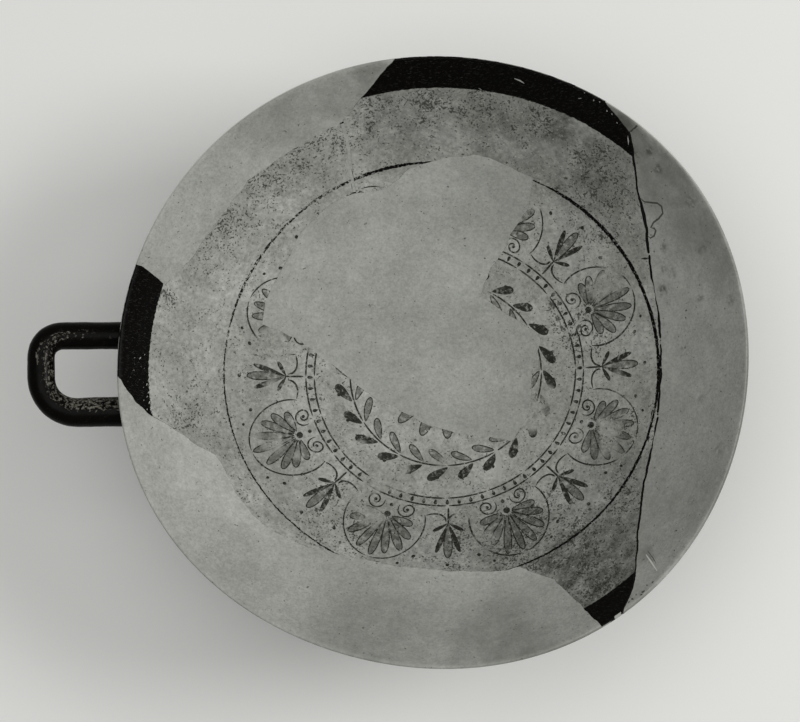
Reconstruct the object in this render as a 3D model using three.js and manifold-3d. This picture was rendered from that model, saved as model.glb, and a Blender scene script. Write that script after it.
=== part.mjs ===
// A wide, shallow stemmed drinking cup of fired clay with one loop handle, broken long ago and
// put together again. Each sherd of the bowl is its own solid, and so is each plaster fill that
// stands in for lost clay, the strip of plaster in an open joint, the handle, and the stem with
// its foot.
// Millimetres, +Z up. The foot stands on Z = 0, the handle points to -X, and the origin lies
// under the middle of the cup and handle together.

import * as THREE from "three";
import { mergeVertices } from "three/addons/utils/BufferGeometryUtils.js";
import Module from "manifold-3d";

// Bowl
const rimRadius = 150; // outermost edge of the lip, along the handle axis
const bowlDepth = 70; // top of the lip down to the middle of the floor
const wallAtLip = 1.7;
const wallAtFloor = 8;
const acrossRatio = 0.956; // width across the handle axis, for each millimetre along it

// A hand-thrown rim is never quite round: each swell has its lobes, its rise as a share of the
// radius, and the bearing in degrees that one lobe points to.
const rimSwells = [
  { lobes: 2, riseShare: 0.0086, towards: -75 },
  { lobes: 3, riseShare: 0.0055, towards: -58 },
  { lobes: 4, riseShare: 0.0066, towards: 32 },
];
const swellPower = 4; // how fast a swell fades from the rim to the floor

// Handle
const handleReach = 43; // beyond the rim, in plan
const handleWidth = 50; // outside to outside of the two limbs
const strapWidth = 13; // seen from above
const strapThickness = 11.5;
const handleSlope = 15; // degrees that the loop climbs outwards
const handleDrop = 6; // middle of the strap's far end below the lip
const backCorner = 10; // bend of the strap's middle line on the +Y side
const frontCorner = 17; // and on the -Y side, which is slacker

// Stem and foot
const footRadius = 57;
const footEdge = 9; // thickness of the foot's rim
const footSlope = 2; // climb of the foot's upper face before it curves up into the stem
const footStep = 7; // width of that sloping face
const edgeRound = 1.5;
const standingRing = 7; // width of the flat that the cup stands on
const stemHeight = 31; // from the foot's upper face to the bowl's underside
const stemRadius = 12; // at its waist
const stemFlare = 24; // where the stem spreads under the bowl
const hollowDepth = 23; // the turned hollow under the foot
const hollowRadius = 9; // of the hollow's narrow top
const hollowRise = 4; // how far the hollow climbs before it turns up into the stem

// Joints
const jointGap = 0.3; // between pieces that touch
const crackWidth = 0.8; // the open crack beside the right side fill
const jointFillWidth = 1.4; // the plaster strip in the open joint at the top left

const pastRimShare = 1.02; // a break that reaches the rim runs on to here

// Points are [bearing in degrees from +X towards +Y, share of the rim radius], and these are
// the places where breaks meet.
const topLeft = [109, 0.86];
const fillTop = [114, 0.66];
const fillRight = [19, 0.33];
const fillFront = [312, 0.315];
const fillLeft = [217, 0.19];
const handleBack = [161, 0.905];
const handleFront = [195.5, 0.825];
const leftFront = [257.5, 0.67];
const chipPoint = [49, 0.962];
const crackBack = [5, 0.709];
const crackFront = [336.5, 0.728];

const breaks = {
  topSherdLeft: [
    [93.6, pastRimShare], [95.7, 0.989], [98.8, 0.958], [100.5, 0.937], [103.4, 0.911], topLeft,
  ],
  leftSherdOuter: [
    topLeft, [114.5, 0.86], [132.5, 0.862], [144.5, 0.855], [154.5, 0.865], handleBack,
  ],
  handleSherdBack: [[159.6, pastRimShare], [159.3, 0.98], [160, 0.945], handleBack],
  handleSherdInner: [
    handleBack, [163, 0.86], [165.5, 0.815], [172.5, 0.77], [178.5, 0.75],
    [184.5, 0.75], [191, 0.775], handleFront,
  ],
  handleSherdFront: [
    [180.1, pastRimShare], [181.6, 0.987], [183.7, 0.972], [186.2, 0.948], [188.8, 0.914],
    handleFront,
  ],
  leftSherdFront: [
    handleFront, [200.5, 0.77], [206, 0.762], [212, 0.765], [218, 0.767], [224.5, 0.756],
    [231.5, 0.733], [242, 0.693], leftFront,
  ],
  lowerSherdFront: [
    leftFront, [268.5, 0.67], [284.5, 0.697], [289.5, 0.706], [296, 0.79], [298.5, 0.9],
    [299.4, 0.965], [300.5, pastRimShare],
  ],
  centreBack: [
    fillTop, [105, 0.635], [97, 0.685], [87.5, 0.705], [79.5, 0.725], [73, 0.715], [63, 0.7],
    [61.5, 0.605], [63.5, 0.51], [63, 0.455], [65.5, 0.39], [65.5, 0.285], [42, 0.29], fillRight,
  ],
  centreRight: [fillRight, [1, 0.28], [336, 0.3], fillFront],
  centreFront: [fillFront, [285.5, 0.215], [250, 0.185], fillLeft],
  centreLeft: [
    fillLeft, [196, 0.25], [176, 0.345], [165, 0.48], [163, 0.605], [155.5, 0.62],
    [143, 0.625], [133.5, 0.65], [121, 0.665], fillTop,
  ],
  rightSherdBack: [
    fillRight, [14, 0.375], [9, 0.42], [10.5, 0.475], [7, 0.515], [6, 0.61], crackBack,
  ],
  rightSherdFront: [
    fillFront, [322, 0.4], [327.5, 0.495], [330, 0.575], [334, 0.645], crackFront,
  ],
  lowerSherdLeft: [fillLeft, [234.5, 0.27], [245, 0.395], [252.5, 0.52], leftFront],
  chipLeft: [[57.5, pastRimShare], [55.3, 0.991], [52.3, 0.978], [50.6, 0.968], chipPoint],
  chipRight: [chipPoint, [48.8, 0.977], [47.9, pastRimShare]],
};

const crack = [
  chipPoint, [47, 0.938], [45, 0.911], [42.9, 0.883], [40.3, 0.849], [38.6, 0.837], [35.6, 0.82],
  [33.6, 0.806], [31, 0.787], [28, 0.766], [25, 0.75], [22, 0.738], [17.3, 0.726], [12, 0.716],
  crackBack, [357.5, 0.705], [349.3, 0.707], [342.2, 0.716], crackFront, [331.6, 0.741],
  [327.9, 0.756], [322, 0.795], [317.3, 0.834], [315.6, 0.86], [312.4, 0.898], [309.2, 0.943],
  [307.5, 0.964], [304.9, 0.985], [302.9, pastRimShare],
];
const openJoint = [topLeft, [110, 0.78], fillTop];

// A place well inside each piece of the bowl tells the pieces apart once they are cut.
const bowlPieces = {
  top_rim_sherd: [75, 0.85],
  left_sherd: [140, 0.75],
  handle_sherd: [178, 0.85],
  right_sherd: [350, 0.5],
  lower_right_sherd: [290, 0.5],
  upper_left_rim_fill: [135, 0.93],
  centre_fill: [140, 0.3],
  lower_left_rim_fill: [240, 0.85],
  right_side_fill: [0, 0.85],
  top_right_chip_fill: [51.5, 1],
};

// Fineness of the facets
const bowlSides = 60;
const arcSteps = 9;
const lipSteps = 4;
const footSides = 40;
const curveSteps = 4;
const strapSides = 12;
const strapSteps = 40;

const degrees = THREE.MathUtils.degToRad;

// Heights from the ground up
const footTop = footEdge + footSlope;
const underside = footTop + stemHeight;
const floorHeight = underside + wallAtFloor;
const lipHeight = floorHeight + bowlDepth;

// The bowl's inner face is one arc from the floor to the lip. The wall thickens towards the
// floor, and the lip is a half round.
const lipRound = wallAtLip / 2;
const lipSteepness = 2 * Math.atan(bowlDepth / rimRadius);
const innerEdgeRadius = rimRadius - lipRound * (1 + Math.sin(lipSteepness));
const innerEdgeHeight = lipHeight - lipRound * (1 - Math.cos(lipSteepness));
const innerDepth = innerEdgeHeight - floorHeight;
const arcRadius = (innerEdgeRadius ** 2 + innerDepth ** 2) / (2 * innerDepth);
const arcHeight = floorHeight + arcRadius;
const lipAngle = Math.asin(innerEdgeRadius / arcRadius);

// A point seen from the arc's centre, an angle out from straight down, as radius and height.
function fromArcCentre(angle, distance) {
  return new THREE.Vector2(
    distance * Math.sin(angle),
    arcHeight - distance * Math.cos(angle),
  );
}

function innerFace() {
  const points = [];
  for (let i = arcSteps; i >= 0; i--) {
    points.push(fromArcCentre((lipAngle * i) / arcSteps, arcRadius));
  }
  return points;
}

function outerFace(clearance) {
  const points = [];
  for (let i = 0; i <= arcSteps; i++) {
    const part = i / arcSteps;
    const wall = THREE.MathUtils.lerp(wallAtFloor, wallAtLip, part);
    points.push(fromArcCentre(lipAngle * part, arcRadius + wall + clearance));
  }
  return points;
}

// The half round between the outer and the inner face, without its two end points.
function lipFace(clearance) {
  const middle = fromArcCentre(lipAngle, arcRadius + lipRound);
  const points = [];
  for (let i = 1; i < lipSteps; i++) {
    const turn = (Math.PI * i) / lipSteps + lipAngle - Math.PI / 2;
    points.push(new THREE.Vector2(
      middle.x + (lipRound + clearance) * Math.cos(turn),
      middle.y + (lipRound + clearance) * Math.sin(turn),
    ));
  }
  return points;
}

// Turns an outline of radius and height about the vertical axis.
function turned(outline, sides) {
  const onAxis = outline.map((p) => new THREE.Vector2(Math.max(p.x, 0), p.y));
  return new THREE.LatheGeometry(onAxis, sides).rotateX(Math.PI / 2);
}

// Draws a round shape out of round: narrower across the handle axis, with the rim's swells.
function outOfRound(geometry) {
  const position = geometry.attributes.position;
  for (let i = 0; i < position.count; i++) {
    const x = position.getX(i);
    const y = position.getY(i);
    const share = Math.min(Math.hypot(x, y) / rimRadius, 1);
    const bearing = Math.atan2(y, x);
    let swell = 0;
    for (const { lobes, riseShare, towards } of rimSwells) {
      swell += riseShare * Math.cos(lobes * (bearing - degrees(towards)));
    }
    const stretch = 1 + swell * share ** swellPower;
    position.setXY(i, x * stretch, y * stretch * acrossRatio);
  }
  return geometry;
}

const wasm = await Module();
wasm.setup();

// A closed geometry as a solid that can be cut and joined.
function toSolid(geometry) {
  const bare = geometry.clone();
  bare.deleteAttribute("normal");
  bare.deleteAttribute("uv");
  const merged = mergeVertices(bare);
  const index = merged.index.array;
  const corners = [];
  for (let i = 0; i < index.length; i += 3) {
    const [a, b, c] = index.slice(i, i + 3);
    if (a !== b && b !== c && c !== a) corners.push(a, b, c);
  }
  return new wasm.Manifold(new wasm.Mesh({
    numProp: 3,
    vertProperties: new Float32Array(merged.attributes.position.array),
    triVerts: new Uint32Array(corners),
  }));
}

function toGeometry(solid) {
  const mesh = solid.getMesh();
  const geometry = new THREE.BufferGeometry();
  geometry.setAttribute("position", new THREE.BufferAttribute(mesh.vertProperties, 3));
  geometry.setIndex(new THREE.BufferAttribute(mesh.triVerts, 1));
  return geometry;
}

// A place on the bowl, counted from its inner face along the line to the arc's centre.
function onBowl([bearing, share], outwards) {
  const angle = Math.asin((share * rimRadius) / arcRadius);
  const { x, y } = fromArcCentre(angle, arcRadius + outwards);
  const turn = degrees(bearing);
  return new THREE.Vector3(x * Math.cos(turn), x * Math.sin(turn), y);
}

// A point in the middle of the wall, no higher than halfway up the round of the lip.
function insideWall([bearing, share]) {
  const highest = (innerEdgeRadius + lipRound / 2) / rimRadius;
  return onBowl([bearing, Math.min(share, highest)], lipRound);
}

// A thin wall that stands along a break, square to the bowl, and cuts right through it. Its
// ends run on by endRun, or stop short where that is negative.
function breakWall(points, width, endRun) {
  const line = points.map((point) => onBowl(point, 0));
  const last = line.length - 1;
  const steps = line.slice(1).map((point, i) => point.clone().sub(line[i]).normalize());
  const stepBefore = (i) => steps[Math.max(i - 1, 0)];
  const stepAfter = (i) => steps[Math.min(i, last - 1)];
  const along = line.map((_, i) => stepBefore(i).clone().add(stepAfter(i)).normalize());
  const half = line.map((_, i) => width / 2 / along[i].dot(stepAfter(i)));
  line[0].addScaledVector(along[0], -endRun);
  line[last].addScaledVector(along[last], endRun);

  // Each point of the line gives the four corners of a section, and the faces join them up.
  const arcCentre = new THREE.Vector3(0, 0, arcHeight);
  const reach = wallAtFloor;
  const corners = [];
  line.forEach((point, i) => {
    const outward = point.clone().sub(arcCentre).normalize();
    const side = along[i].clone().cross(outward).normalize().multiplyScalar(half[i]);
    const inner = point.clone().addScaledVector(outward, -reach);
    const outer = point.clone().addScaledVector(outward, wallAtFloor + reach);
    corners.push(inner.clone().sub(side), inner.clone().add(side));
    corners.push(outer.clone().add(side), outer.clone().sub(side));
  });
  const faces = [0, 1, 2, 0, 2, 3];
  for (let i = 0; i < last; i++) {
    for (let k = 0; k < 4; k++) {
      const a = 4 * i + k;
      const b = 4 * i + ((k + 1) % 4);
      faces.push(a, b + 4, b, a, a + 4, b + 4);
    }
  }
  const end = 4 * last;
  faces.push(end, end + 2, end + 1, end, end + 3, end + 2);
  const geometry = new THREE.BufferGeometry().setFromPoints(corners);
  geometry.setIndex(faces);
  return toSolid(geometry);
}

function wholeBowl() {
  const outline = [...outerFace(0), ...lipFace(0), ...innerFace()];
  return toSolid(turned(outline, bowlSides));
}

// The bowl, cut along every break into its loose pieces.
function cutBowl() {
  const endRun = jointGap / 2;
  let bowl = wholeBowl();
  for (const points of Object.values(breaks)) {
    bowl = bowl.subtract(breakWall(points, jointGap, endRun));
  }
  bowl = bowl.subtract(breakWall(crack, crackWidth, endRun));
  bowl = bowl.subtract(breakWall(openJoint, jointFillWidth + 2 * jointGap, endRun));
  return bowl.decompose();
}

// The plaster strip that fills the open joint, flush with both faces of the bowl.
function jointFill() {
  return wholeBowl().intersect(breakWall(openJoint, jointFillWidth, -jointFillWidth / 2));
}

// The space that the bowl takes up, filled to the lip and with a gap all round it. What is
// fixed to the bowl's outside is cut by this.
function bowlSpace() {
  const middleOfLip = new THREE.Vector2(0, innerEdgeHeight);
  const outline = [...outerFace(jointGap), ...lipFace(jointGap), middleOfLip];
  return toSolid(outOfRound(turned(outline, bowlSides)));
}

// The middle line of the handle's strap. It leaves the bowl on the +Y side, turns two bends
// and comes back on the -Y side, all in one plane that climbs outwards. Both limbs start well
// inside the bowl's space, which later cuts them to length.
class StrapLine extends THREE.Curve {
  constructor() {
    super();
    this.slope = degrees(handleSlope);
    this.endRadius = rimRadius + handleReach - (strapWidth / 2) * Math.cos(this.slope);
    const limb = (handleWidth - strapWidth) / 2;
    const rootDepth = 2 * strapWidth;
    const limbLength = (this.endRadius - innerEdgeRadius + rootDepth) / Math.cos(this.slope);
    this.flat = new THREE.Path();
    this.flat.moveTo(limbLength, limb);
    this.flat.lineTo(backCorner, limb);
    this.flat.absarc(backCorner, limb - backCorner, backCorner, Math.PI / 2, Math.PI);
    this.flat.lineTo(0, frontCorner - limb);
    this.flat.absarc(frontCorner, frontCorner - limb, frontCorner, Math.PI, 1.5 * Math.PI);
    this.flat.lineTo(limbLength, -limb);
  }

  getPoint(share, target = new THREE.Vector3()) {
    const { x, y } = this.flat.getPoint(share);
    return target.set(
      x * Math.cos(this.slope) - this.endRadius,
      y,
      lipHeight - handleDrop - x * Math.sin(this.slope),
    );
  }
}

function handle() {
  const section = new THREE.Shape();
  section.absellipse(0, 0, strapWidth / 2, strapThickness / 2, 0, 2 * Math.PI);
  const rough = new THREE.ExtrudeGeometry(section, {
    curveSegments: strapSides / 2,
    steps: strapSteps,
    extrudePath: new StrapLine(),
  });
  return toSolid(rough).subtract(bowlSpace());
}

// The stem with its foot, turned hollow from below. Its top is cut to the bowl's underside.
function stemAndFoot() {
  const ringInner = footRadius - edgeRound - standingRing;
  const waistHeight = footTop + stemHeight / 2;
  const insideBowl = underside + wallAtFloor / 2;
  const outline = new THREE.Path();
  outline.moveTo(0, hollowDepth);
  outline.bezierCurveTo(
    hollowRadius, hollowDepth,
    hollowRadius + hollowRise, hollowRise,
    ringInner, 0,
  );
  outline.lineTo(footRadius - edgeRound, 0);
  outline.quadraticCurveTo(footRadius, 0, footRadius, edgeRound);
  outline.lineTo(footRadius, footEdge - edgeRound);
  outline.quadraticCurveTo(footRadius, footEdge, footRadius - edgeRound, footEdge);
  outline.lineTo(footRadius - footStep, footTop);
  outline.bezierCurveTo(
    (footRadius + stemRadius) / 2 - footStep, footTop + footSlope,
    stemRadius, (footTop + waistHeight) / 2 - footSlope,
    stemRadius, waistHeight,
  );
  outline.quadraticCurveTo(stemRadius, underside - footSlope, stemFlare, insideBowl);
  outline.lineTo(0, insideBowl);
  return toSolid(turned(outline.getPoints(curveSteps), footSides)).subtract(bowlSpace());
}

const slip = { color: 0x8d8e88, roughness: 0.62 }; // pale slip inside a sherd
const plaster = { color: 0x95968f, roughness: 0.85 };
const gloss = { color: 0x11100c, roughness: 0.3 }; // black gloss on the outside

function named(name, geometry, finish) {
  const material = new THREE.MeshStandardMaterial({ metalness: 0, ...finish });
  const mesh = new THREE.Mesh(geometry, material);
  mesh.name = name;
  return mesh;
}

const loosePieces = cutBowl();
const probeSize = wallAtLip / 4;
const probe = toSolid(new THREE.BoxGeometry(probeSize, probeSize, probeSize));
const bowl = new THREE.Group();
for (const [name, place] of Object.entries(bowlPieces)) {
  const here = probe.translate(insideWall(place).toArray());
  const overlap = (solid) => solid.intersect(here).volume();
  const piece = loosePieces.reduce((a, b) => (overlap(b) > overlap(a) ? b : a));
  const finish = name.endsWith("_sherd") ? slip : plaster;
  bowl.add(named(name, outOfRound(toGeometry(piece)), finish));
}
bowl.add(named("top_joint_fill", outOfRound(toGeometry(jointFill())), plaster));

const cup = new THREE.Group();
cup.add(bowl);
cup.add(named("handle", toGeometry(handle()), gloss));
cup.add(named("stem_and_foot", toGeometry(stemAndFoot()), gloss));

const middle = new THREE.Box3().setFromObject(cup).getCenter(new THREE.Vector3());
cup.position.set(-middle.x, -middle.y, 0);

export default cup;
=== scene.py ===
# A wide stemmed drinking cup of fired clay, broken long ago and mended with plaster.
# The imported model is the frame. Each piece is worked out again here, finer, in its own place.
import math

import bpy
import numpy as np
from mathutils import Matrix, Vector
from mathutils.geometry import delaunay_2d_cdt


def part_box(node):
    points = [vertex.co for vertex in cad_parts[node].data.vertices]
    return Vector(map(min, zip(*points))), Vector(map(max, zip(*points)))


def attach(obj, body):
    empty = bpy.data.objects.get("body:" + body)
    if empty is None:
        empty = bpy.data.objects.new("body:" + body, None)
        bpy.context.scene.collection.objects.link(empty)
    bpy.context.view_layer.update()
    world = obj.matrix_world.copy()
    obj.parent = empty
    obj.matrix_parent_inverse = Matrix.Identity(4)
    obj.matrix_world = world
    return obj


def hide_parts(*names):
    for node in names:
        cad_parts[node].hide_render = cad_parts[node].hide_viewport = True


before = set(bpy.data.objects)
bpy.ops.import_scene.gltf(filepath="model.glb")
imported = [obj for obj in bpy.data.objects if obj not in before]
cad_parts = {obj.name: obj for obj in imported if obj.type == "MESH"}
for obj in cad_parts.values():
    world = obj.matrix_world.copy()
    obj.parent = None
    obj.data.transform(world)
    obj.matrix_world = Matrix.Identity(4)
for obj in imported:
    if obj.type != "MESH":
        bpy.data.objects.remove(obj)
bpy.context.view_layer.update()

mm = 0.001

# What the camera sees: lengths in millimetres, directions in the cup's frame
view = {
    "aim": (8.21, -0.28, 120.0),
    "towards": (0.1155, -0.1129, 1.0),  # from the aim point to the camera
    "up": (0.0227, 0.9997, 0.0),
    "distance": 1600.0,
    "lens": 154.4,
    "sensor": 36.0,
    "clip": (0.05, 50.0),  # metres
}

# The cup's own sizes in millimetres and degrees, as its construction has them
cup = {
    "rimRadius": 150.0,
    "lipHeight": 120.0,  # above the ground
    "bowlDepth": 70.0,
    "wallAtLip": 1.7,
    "wallAtFloor": 8.0,
    "acrossRatio": 0.956,  # width across the handle axis, against the width along it
    "swells": [(2, 0.0086, -75.0), (3, 0.0055, -58.0), (4, 0.0066, 32.0)],
    "swellPower": 4,
    "lipSteps": 10,
    "lipInset": 0.33,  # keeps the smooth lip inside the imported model's flat-sided one
}

# How the bowl's pieces are drawn, in millimetres
bowl = {
    "spacing": 2.0,  # between grid points inside the bowl
    "outerSpacing": 4.0,  # and outside
    "edgeStep": 0.8,  # between points along a break
    "closedJoint": 0.06,  # what is left open where two pieces meet
    "tightGap": 0.6,  # gaps narrower than this are closed joints
    "crackGap": 1.2,  # and up to this the open crack, before it is widened
    "crackWidest": 2.4,
    "crackClosed": 0.06,  # taken off each side of the open crack
    "crackFoot": 0.08,  # what each side keeps clear where the crack's sides come together
    "crackSteepness": 2.2,  # wall thickness over the depth at which they do
    "curlSteps": 16,  # longest run of points on which a loop may cross itself
    # Bearing, share, reach and what each side is opened by, or closed where it is negative
    "crackWide": [
        (35.5, 0.82, 9.0, 0.7), (29.0, 0.775, 9.0, 0.5), (48.6, 0.955, 5.0, 0.3),
        (44.5, 0.895, 12.0, 0.3), (23.0, 0.742, 7.0, 0.3), (18.5, 0.73, 5.0, -0.25),
        (10.0, 0.712, 9.0, 0.35), (356.0, 0.703, 16.0, 0.3), (345.0, 0.71, 8.0, 0.3),
        (338.5, 0.723, 4.0, -0.2), (333.0, 0.745, 8.0, 0.4), (324.0, 0.79, 12.0, 0.3),
        (316.0, 0.86, 14.0, 0.22), (309.0, 0.945, 10.0, 0.15),
    ],
    "wander": [(24.0, 0.45), (9.0, 0.3), (3.4, 0.12), (1.7, 0.05)],  # wavelength and reach
    "wheelRing": 6.5,  # spacing of the potter's throwing rings
    "wheelRingHeight": 0.035,
    "unevenness": {"sherd": (38.0, 0.1), "fill": (17.0, 0.13)},  # wavelength and height
    "fadeAtRim": 9.0,
    "slant": (6, 2.2, 12.0),  # of a joint at the rim: points it is read from, limit and fade
    "lipChips": [(302.6, 304.2)],  # bearings between which the lip has lost its skin
    "readWithin": (0.6, 0.1, 0.7),  # for outlines: depth, run past the rim and least facing
    "rimWithin": (0.4, 0.005),  # of the rim, for a corner as read and a point as moved to it
    "gridClear": 0.55,  # of a grid's spacing, kept free beside drawn lines
    "pieces": {
        "top_rim_sherd": "sherd",
        "left_sherd": "sherd",
        "handle_sherd": "sherd",
        "right_sherd": "sherd",
        "lower_right_sherd": "sherd",
        "upper_left_rim_fill": "fill",
        "centre_fill": "fill",
        "lower_left_rim_fill": "fill",
        "right_side_fill": "fill",
        "top_right_chip_fill": "fill",
        "top_joint_fill": "fill",
    },
}


pairsAtOnce = 4_000_000  # how many pairs of points are compared in one go


# sRGB hex to linear: c / 12.92 up to 0.04045, above it ((c + 0.055) / 1.055) to the power 2.4.
def linear(hexColour):
    c = np.array([int(hexColour[i:i + 2], 16) for i in (1, 3, 5)]) / 255
    c = np.where(c <= 0.04045, c / 12.92, ((c + 0.055) / 1.055) ** 2.4)
    return (*c.tolist(), 1.0)


# Camera

# The camera looks back along the line from the aim point, at the given distance.
def makeCamera():
    data = bpy.data.cameras.new("camera")
    data.lens = view["lens"]
    data.sensor_fit = "HORIZONTAL"
    data.sensor_width = view["sensor"]
    data.clip_start, data.clip_end = view["clip"]
    back = Vector(view["towards"]).normalized()
    right = Vector(view["up"]).cross(back).normalized()
    up = back.cross(right)
    place = (Vector(view["aim"]) + back * view["distance"]) * mm
    camera = bpy.data.objects.new("camera", data)
    camera.matrix_world = Matrix.Translation(place) @ Matrix((right, up, back)).transposed().to_4x4()
    bpy.context.scene.collection.objects.link(camera)
    bpy.context.scene.camera = camera


makeCamera()
print("camera placed")

# The bowl's wall as a surface. A place on it is flat: its distance along the inner face from
# the middle of the floor, laid out at its bearing, so that the bowl opens like a map.

lipRound = cup["wallAtLip"] / 2
lipSteepness = 2 * math.atan(cup["bowlDepth"] / cup["rimRadius"])
innerEdgeRadius = cup["rimRadius"] - lipRound * (1 + math.sin(lipSteepness))
lipHeight = cup["lipHeight"]
floorHeight = lipHeight - cup["bowlDepth"]
innerDepth = cup["bowlDepth"] - lipRound * (1 - math.cos(lipSteepness))
arcRadius = (innerEdgeRadius ** 2 + innerDepth ** 2) / (2 * innerDepth)
arcHeight = floorHeight + arcRadius
lipAngle = math.asin(innerEdgeRadius / arcRadius)
rimArc = arcRadius * lipAngle
footLow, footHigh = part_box("stem_and_foot")
axisX = (footLow.x + footHigh.x) / 2 / mm
axisY = (footLow.y + footHigh.y) / 2 / mm


# Wall thickness: from wallAtFloor in the middle to wallAtLip at the rim, in a straight line.
def wallAt(along):
    return cup["wallAtFloor"] + (cup["wallAtLip"] - cup["wallAtFloor"]) * along / rimArc


# Distance along the inner face at a share of the rim's radius: arc radius times its angle.
def alongAt(share):
    return arcRadius * np.arcsin(np.asarray(share) * cup["rimRadius"] / arcRadius)


# Flat place of a bearing in degrees and a share of the rim's radius.
def flatAt(bearing, share):
    turn = np.radians(bearing)
    along = alongAt(share)
    return np.stack([along * np.cos(turn), along * np.sin(turn)], -1)


# Rim's swell at a bearing in radians: the sum of each swell's rise times the cosine of its lobes.
def swellAt(bearing):
    return sum(rise * np.cos(n * (bearing - math.radians(to))) for n, rise, to in cup["swells"])


# Radius and height, turned to a bearing, then drawn out of round: both sideways lengths grow by
# 1 plus the swell times the share of the rim radius to the fourth power, and y by acrossRatio.
def standUp(radius, height, bearing):
    share = np.minimum(radius / cup["rimRadius"], 1)
    stretch = 1 + swellAt(bearing) * share ** cup["swellPower"]
    x = radius * stretch * np.cos(bearing) + axisX
    y = radius * stretch * np.sin(bearing) * cup["acrossRatio"] + axisY
    return np.stack([x, y, height], -1)


# A flat place, and a depth into the wall, as a point: the angle out from straight down is the
# distance along over the arc's radius, and the point lies that much deeper than the arc.
def wallPoint(flat, depth):
    along = np.hypot(flat[..., 0], flat[..., 1])
    bearing = np.arctan2(flat[..., 1], flat[..., 0])
    angle = along / arcRadius
    radius = (arcRadius + depth) * np.sin(angle)
    height = arcHeight - (arcRadius + depth) * np.cos(angle)
    return standUp(radius, height, bearing)


# The other way about: flat place and depth of points in millimetres. The swell is taken out by
# dividing the radius by its stretch a few times over.
def flatten(points):
    x = points[..., 0] - axisX
    y = (points[..., 1] - axisY) / cup["acrossRatio"]
    bearing = np.arctan2(y, x)
    outer = np.hypot(x, y)
    radius = outer
    for _ in range(12):
        share = np.minimum(radius / cup["rimRadius"], 1)
        radius = outer / (1 + swellAt(bearing) * share ** cup["swellPower"])
    down = arcHeight - points[..., 2]
    along = arcRadius * np.arctan2(radius, down)
    flat = np.stack([along * np.cos(bearing), along * np.sin(bearing)], -1)
    return flat, np.hypot(radius, down) - arcRadius


# Smooth noise from -1 to 1: the mean of a few sine waves that run in seeded directions, with
# lengths near the given one.
def ripple(points, wavelength, seed, waves=7):
    random = np.random.default_rng(seed)
    turns = random.uniform(0, 2 * math.pi, waves)
    lengths = wavelength * random.uniform(0.7, 1.4, waves)
    phases = random.uniform(0, 2 * math.pi, waves)
    directions = np.stack([np.cos(turns), np.sin(turns)]) * 2 * math.pi / lengths
    return np.sin(points @ directions + phases).sum(-1) / math.sqrt(waves * 2)


# Even-odd rule: a point is inside where a ray to +X crosses the loop an odd number of times.
def insideLoop(points, loop):
    a = loop
    b = np.roll(loop, -1, 0)
    rise = np.where(b[:, 1] == a[:, 1], 1, b[:, 1] - a[:, 1])
    found = []
    for part in np.array_split(points, 1 + len(points) * len(loop) // pairsAtOnce):
        x, y = part[:, :1], part[:, 1:]
        crosses = (a[:, 1] > y) != (b[:, 1] > y)
        at = a[:, 0] + (y - a[:, 1]) * (b[:, 0] - a[:, 0]) / rise
        found.append((crosses & (x < at)).sum(1) % 2 == 1)
    return np.concatenate(found)


# For each point, which of the others is nearest, and how far it is.
def nearest(points, others):
    numbers, gaps = [], []
    for part in np.array_split(points, 1 + len(points) * len(others) // pairsAtOnce):
        away = np.hypot(part[:, :1] - others[:, 0], part[:, 1:] - others[:, 1])
        numbers.append(away.argmin(1))
        gaps.append(away.min(1))
    return np.concatenate(numbers), np.concatenate(gaps)


# The edges that only one triangle has, in order round their loop. Each pass follows every point
# twice as far on as the pass before, and doubles the part of the loop that is known.
def edgeLoop(triangles, count):
    triangles = triangles[(triangles != np.roll(triangles, 1, 1)).all(1)]
    starts = triangles.ravel()
    ends = np.roll(triangles, -1, 1).ravel()
    alone = ~np.isin(starts * count + ends, ends * count + starts)
    onwards = np.arange(count)
    onwards[starts[alone]] = ends[alone]
    loop = starts[alone][:1]
    while len(loop) < alone.sum():
        loop = np.concatenate([loop, onwards[loop]])
        onwards = onwards[onwards]
    return loop[:alone.sum()]


# Outline of a bowl piece on the map: its CAD node's triangles that lie on the inner face and
# look at the arc's centre, merged, and the loop round them.
def outlineOf(node):
    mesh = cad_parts[node].data
    mesh.calc_loop_triangles()
    corners = np.empty(len(mesh.vertices) * 3)
    mesh.vertices.foreach_get("co", corners)
    triangles = np.empty(len(mesh.loop_triangles) * 3, int)
    mesh.loop_triangles.foreach_get("vertices", triangles)
    points = corners.reshape(-1, 3)[triangles].reshape(-1, 3, 3) / mm
    flat, depth = flatten(points)
    normal = np.cross(points[:, 1] - points[:, 0], points[:, 2] - points[:, 0])
    towards = [axisX, axisY, arcHeight] - points.mean(1)
    reach, past, least = bowl["readWithin"]
    lengths = np.linalg.norm(towards, axis=1) * np.linalg.norm(normal, axis=1)
    facing = (towards * normal).sum(1) > least * lengths
    along = np.hypot(flat[..., 0], flat[..., 1])
    onInner = (np.abs(depth) < reach).all(1) & (along < rimArc + past).all(1) & facing
    flat = flat[onInner].reshape(-1, 2)
    keys, index = np.unique(np.round(flat, 2), axis=0, return_inverse=True)
    return keys[edgeLoop(index.reshape(-1, 3), len(keys))]


# The outline with points a small step apart. Points on an edge between two corners at the rim
# belong to the rim.
def fineOutline(corners):
    following = np.roll(corners, -1, 0)
    length = np.hypot(*(following - corners).T)
    pieces = np.maximum(1, np.ceil(length / bowl["edgeStep"])).astype(int)
    which = np.repeat(np.arange(len(corners)), pieces)
    share = (np.arange(len(which)) - np.repeat(np.cumsum(pieces) - pieces, pieces)) / pieces[which]
    points = corners[which] + (following - corners)[which] * share[:, None]
    atRim = np.hypot(*corners.T) > rimArc - bowl["rimWithin"][0]
    onRim = (atRim & np.roll(atRim, -1))[which]
    return points, onRim | np.roll(onRim, 1)


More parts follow.
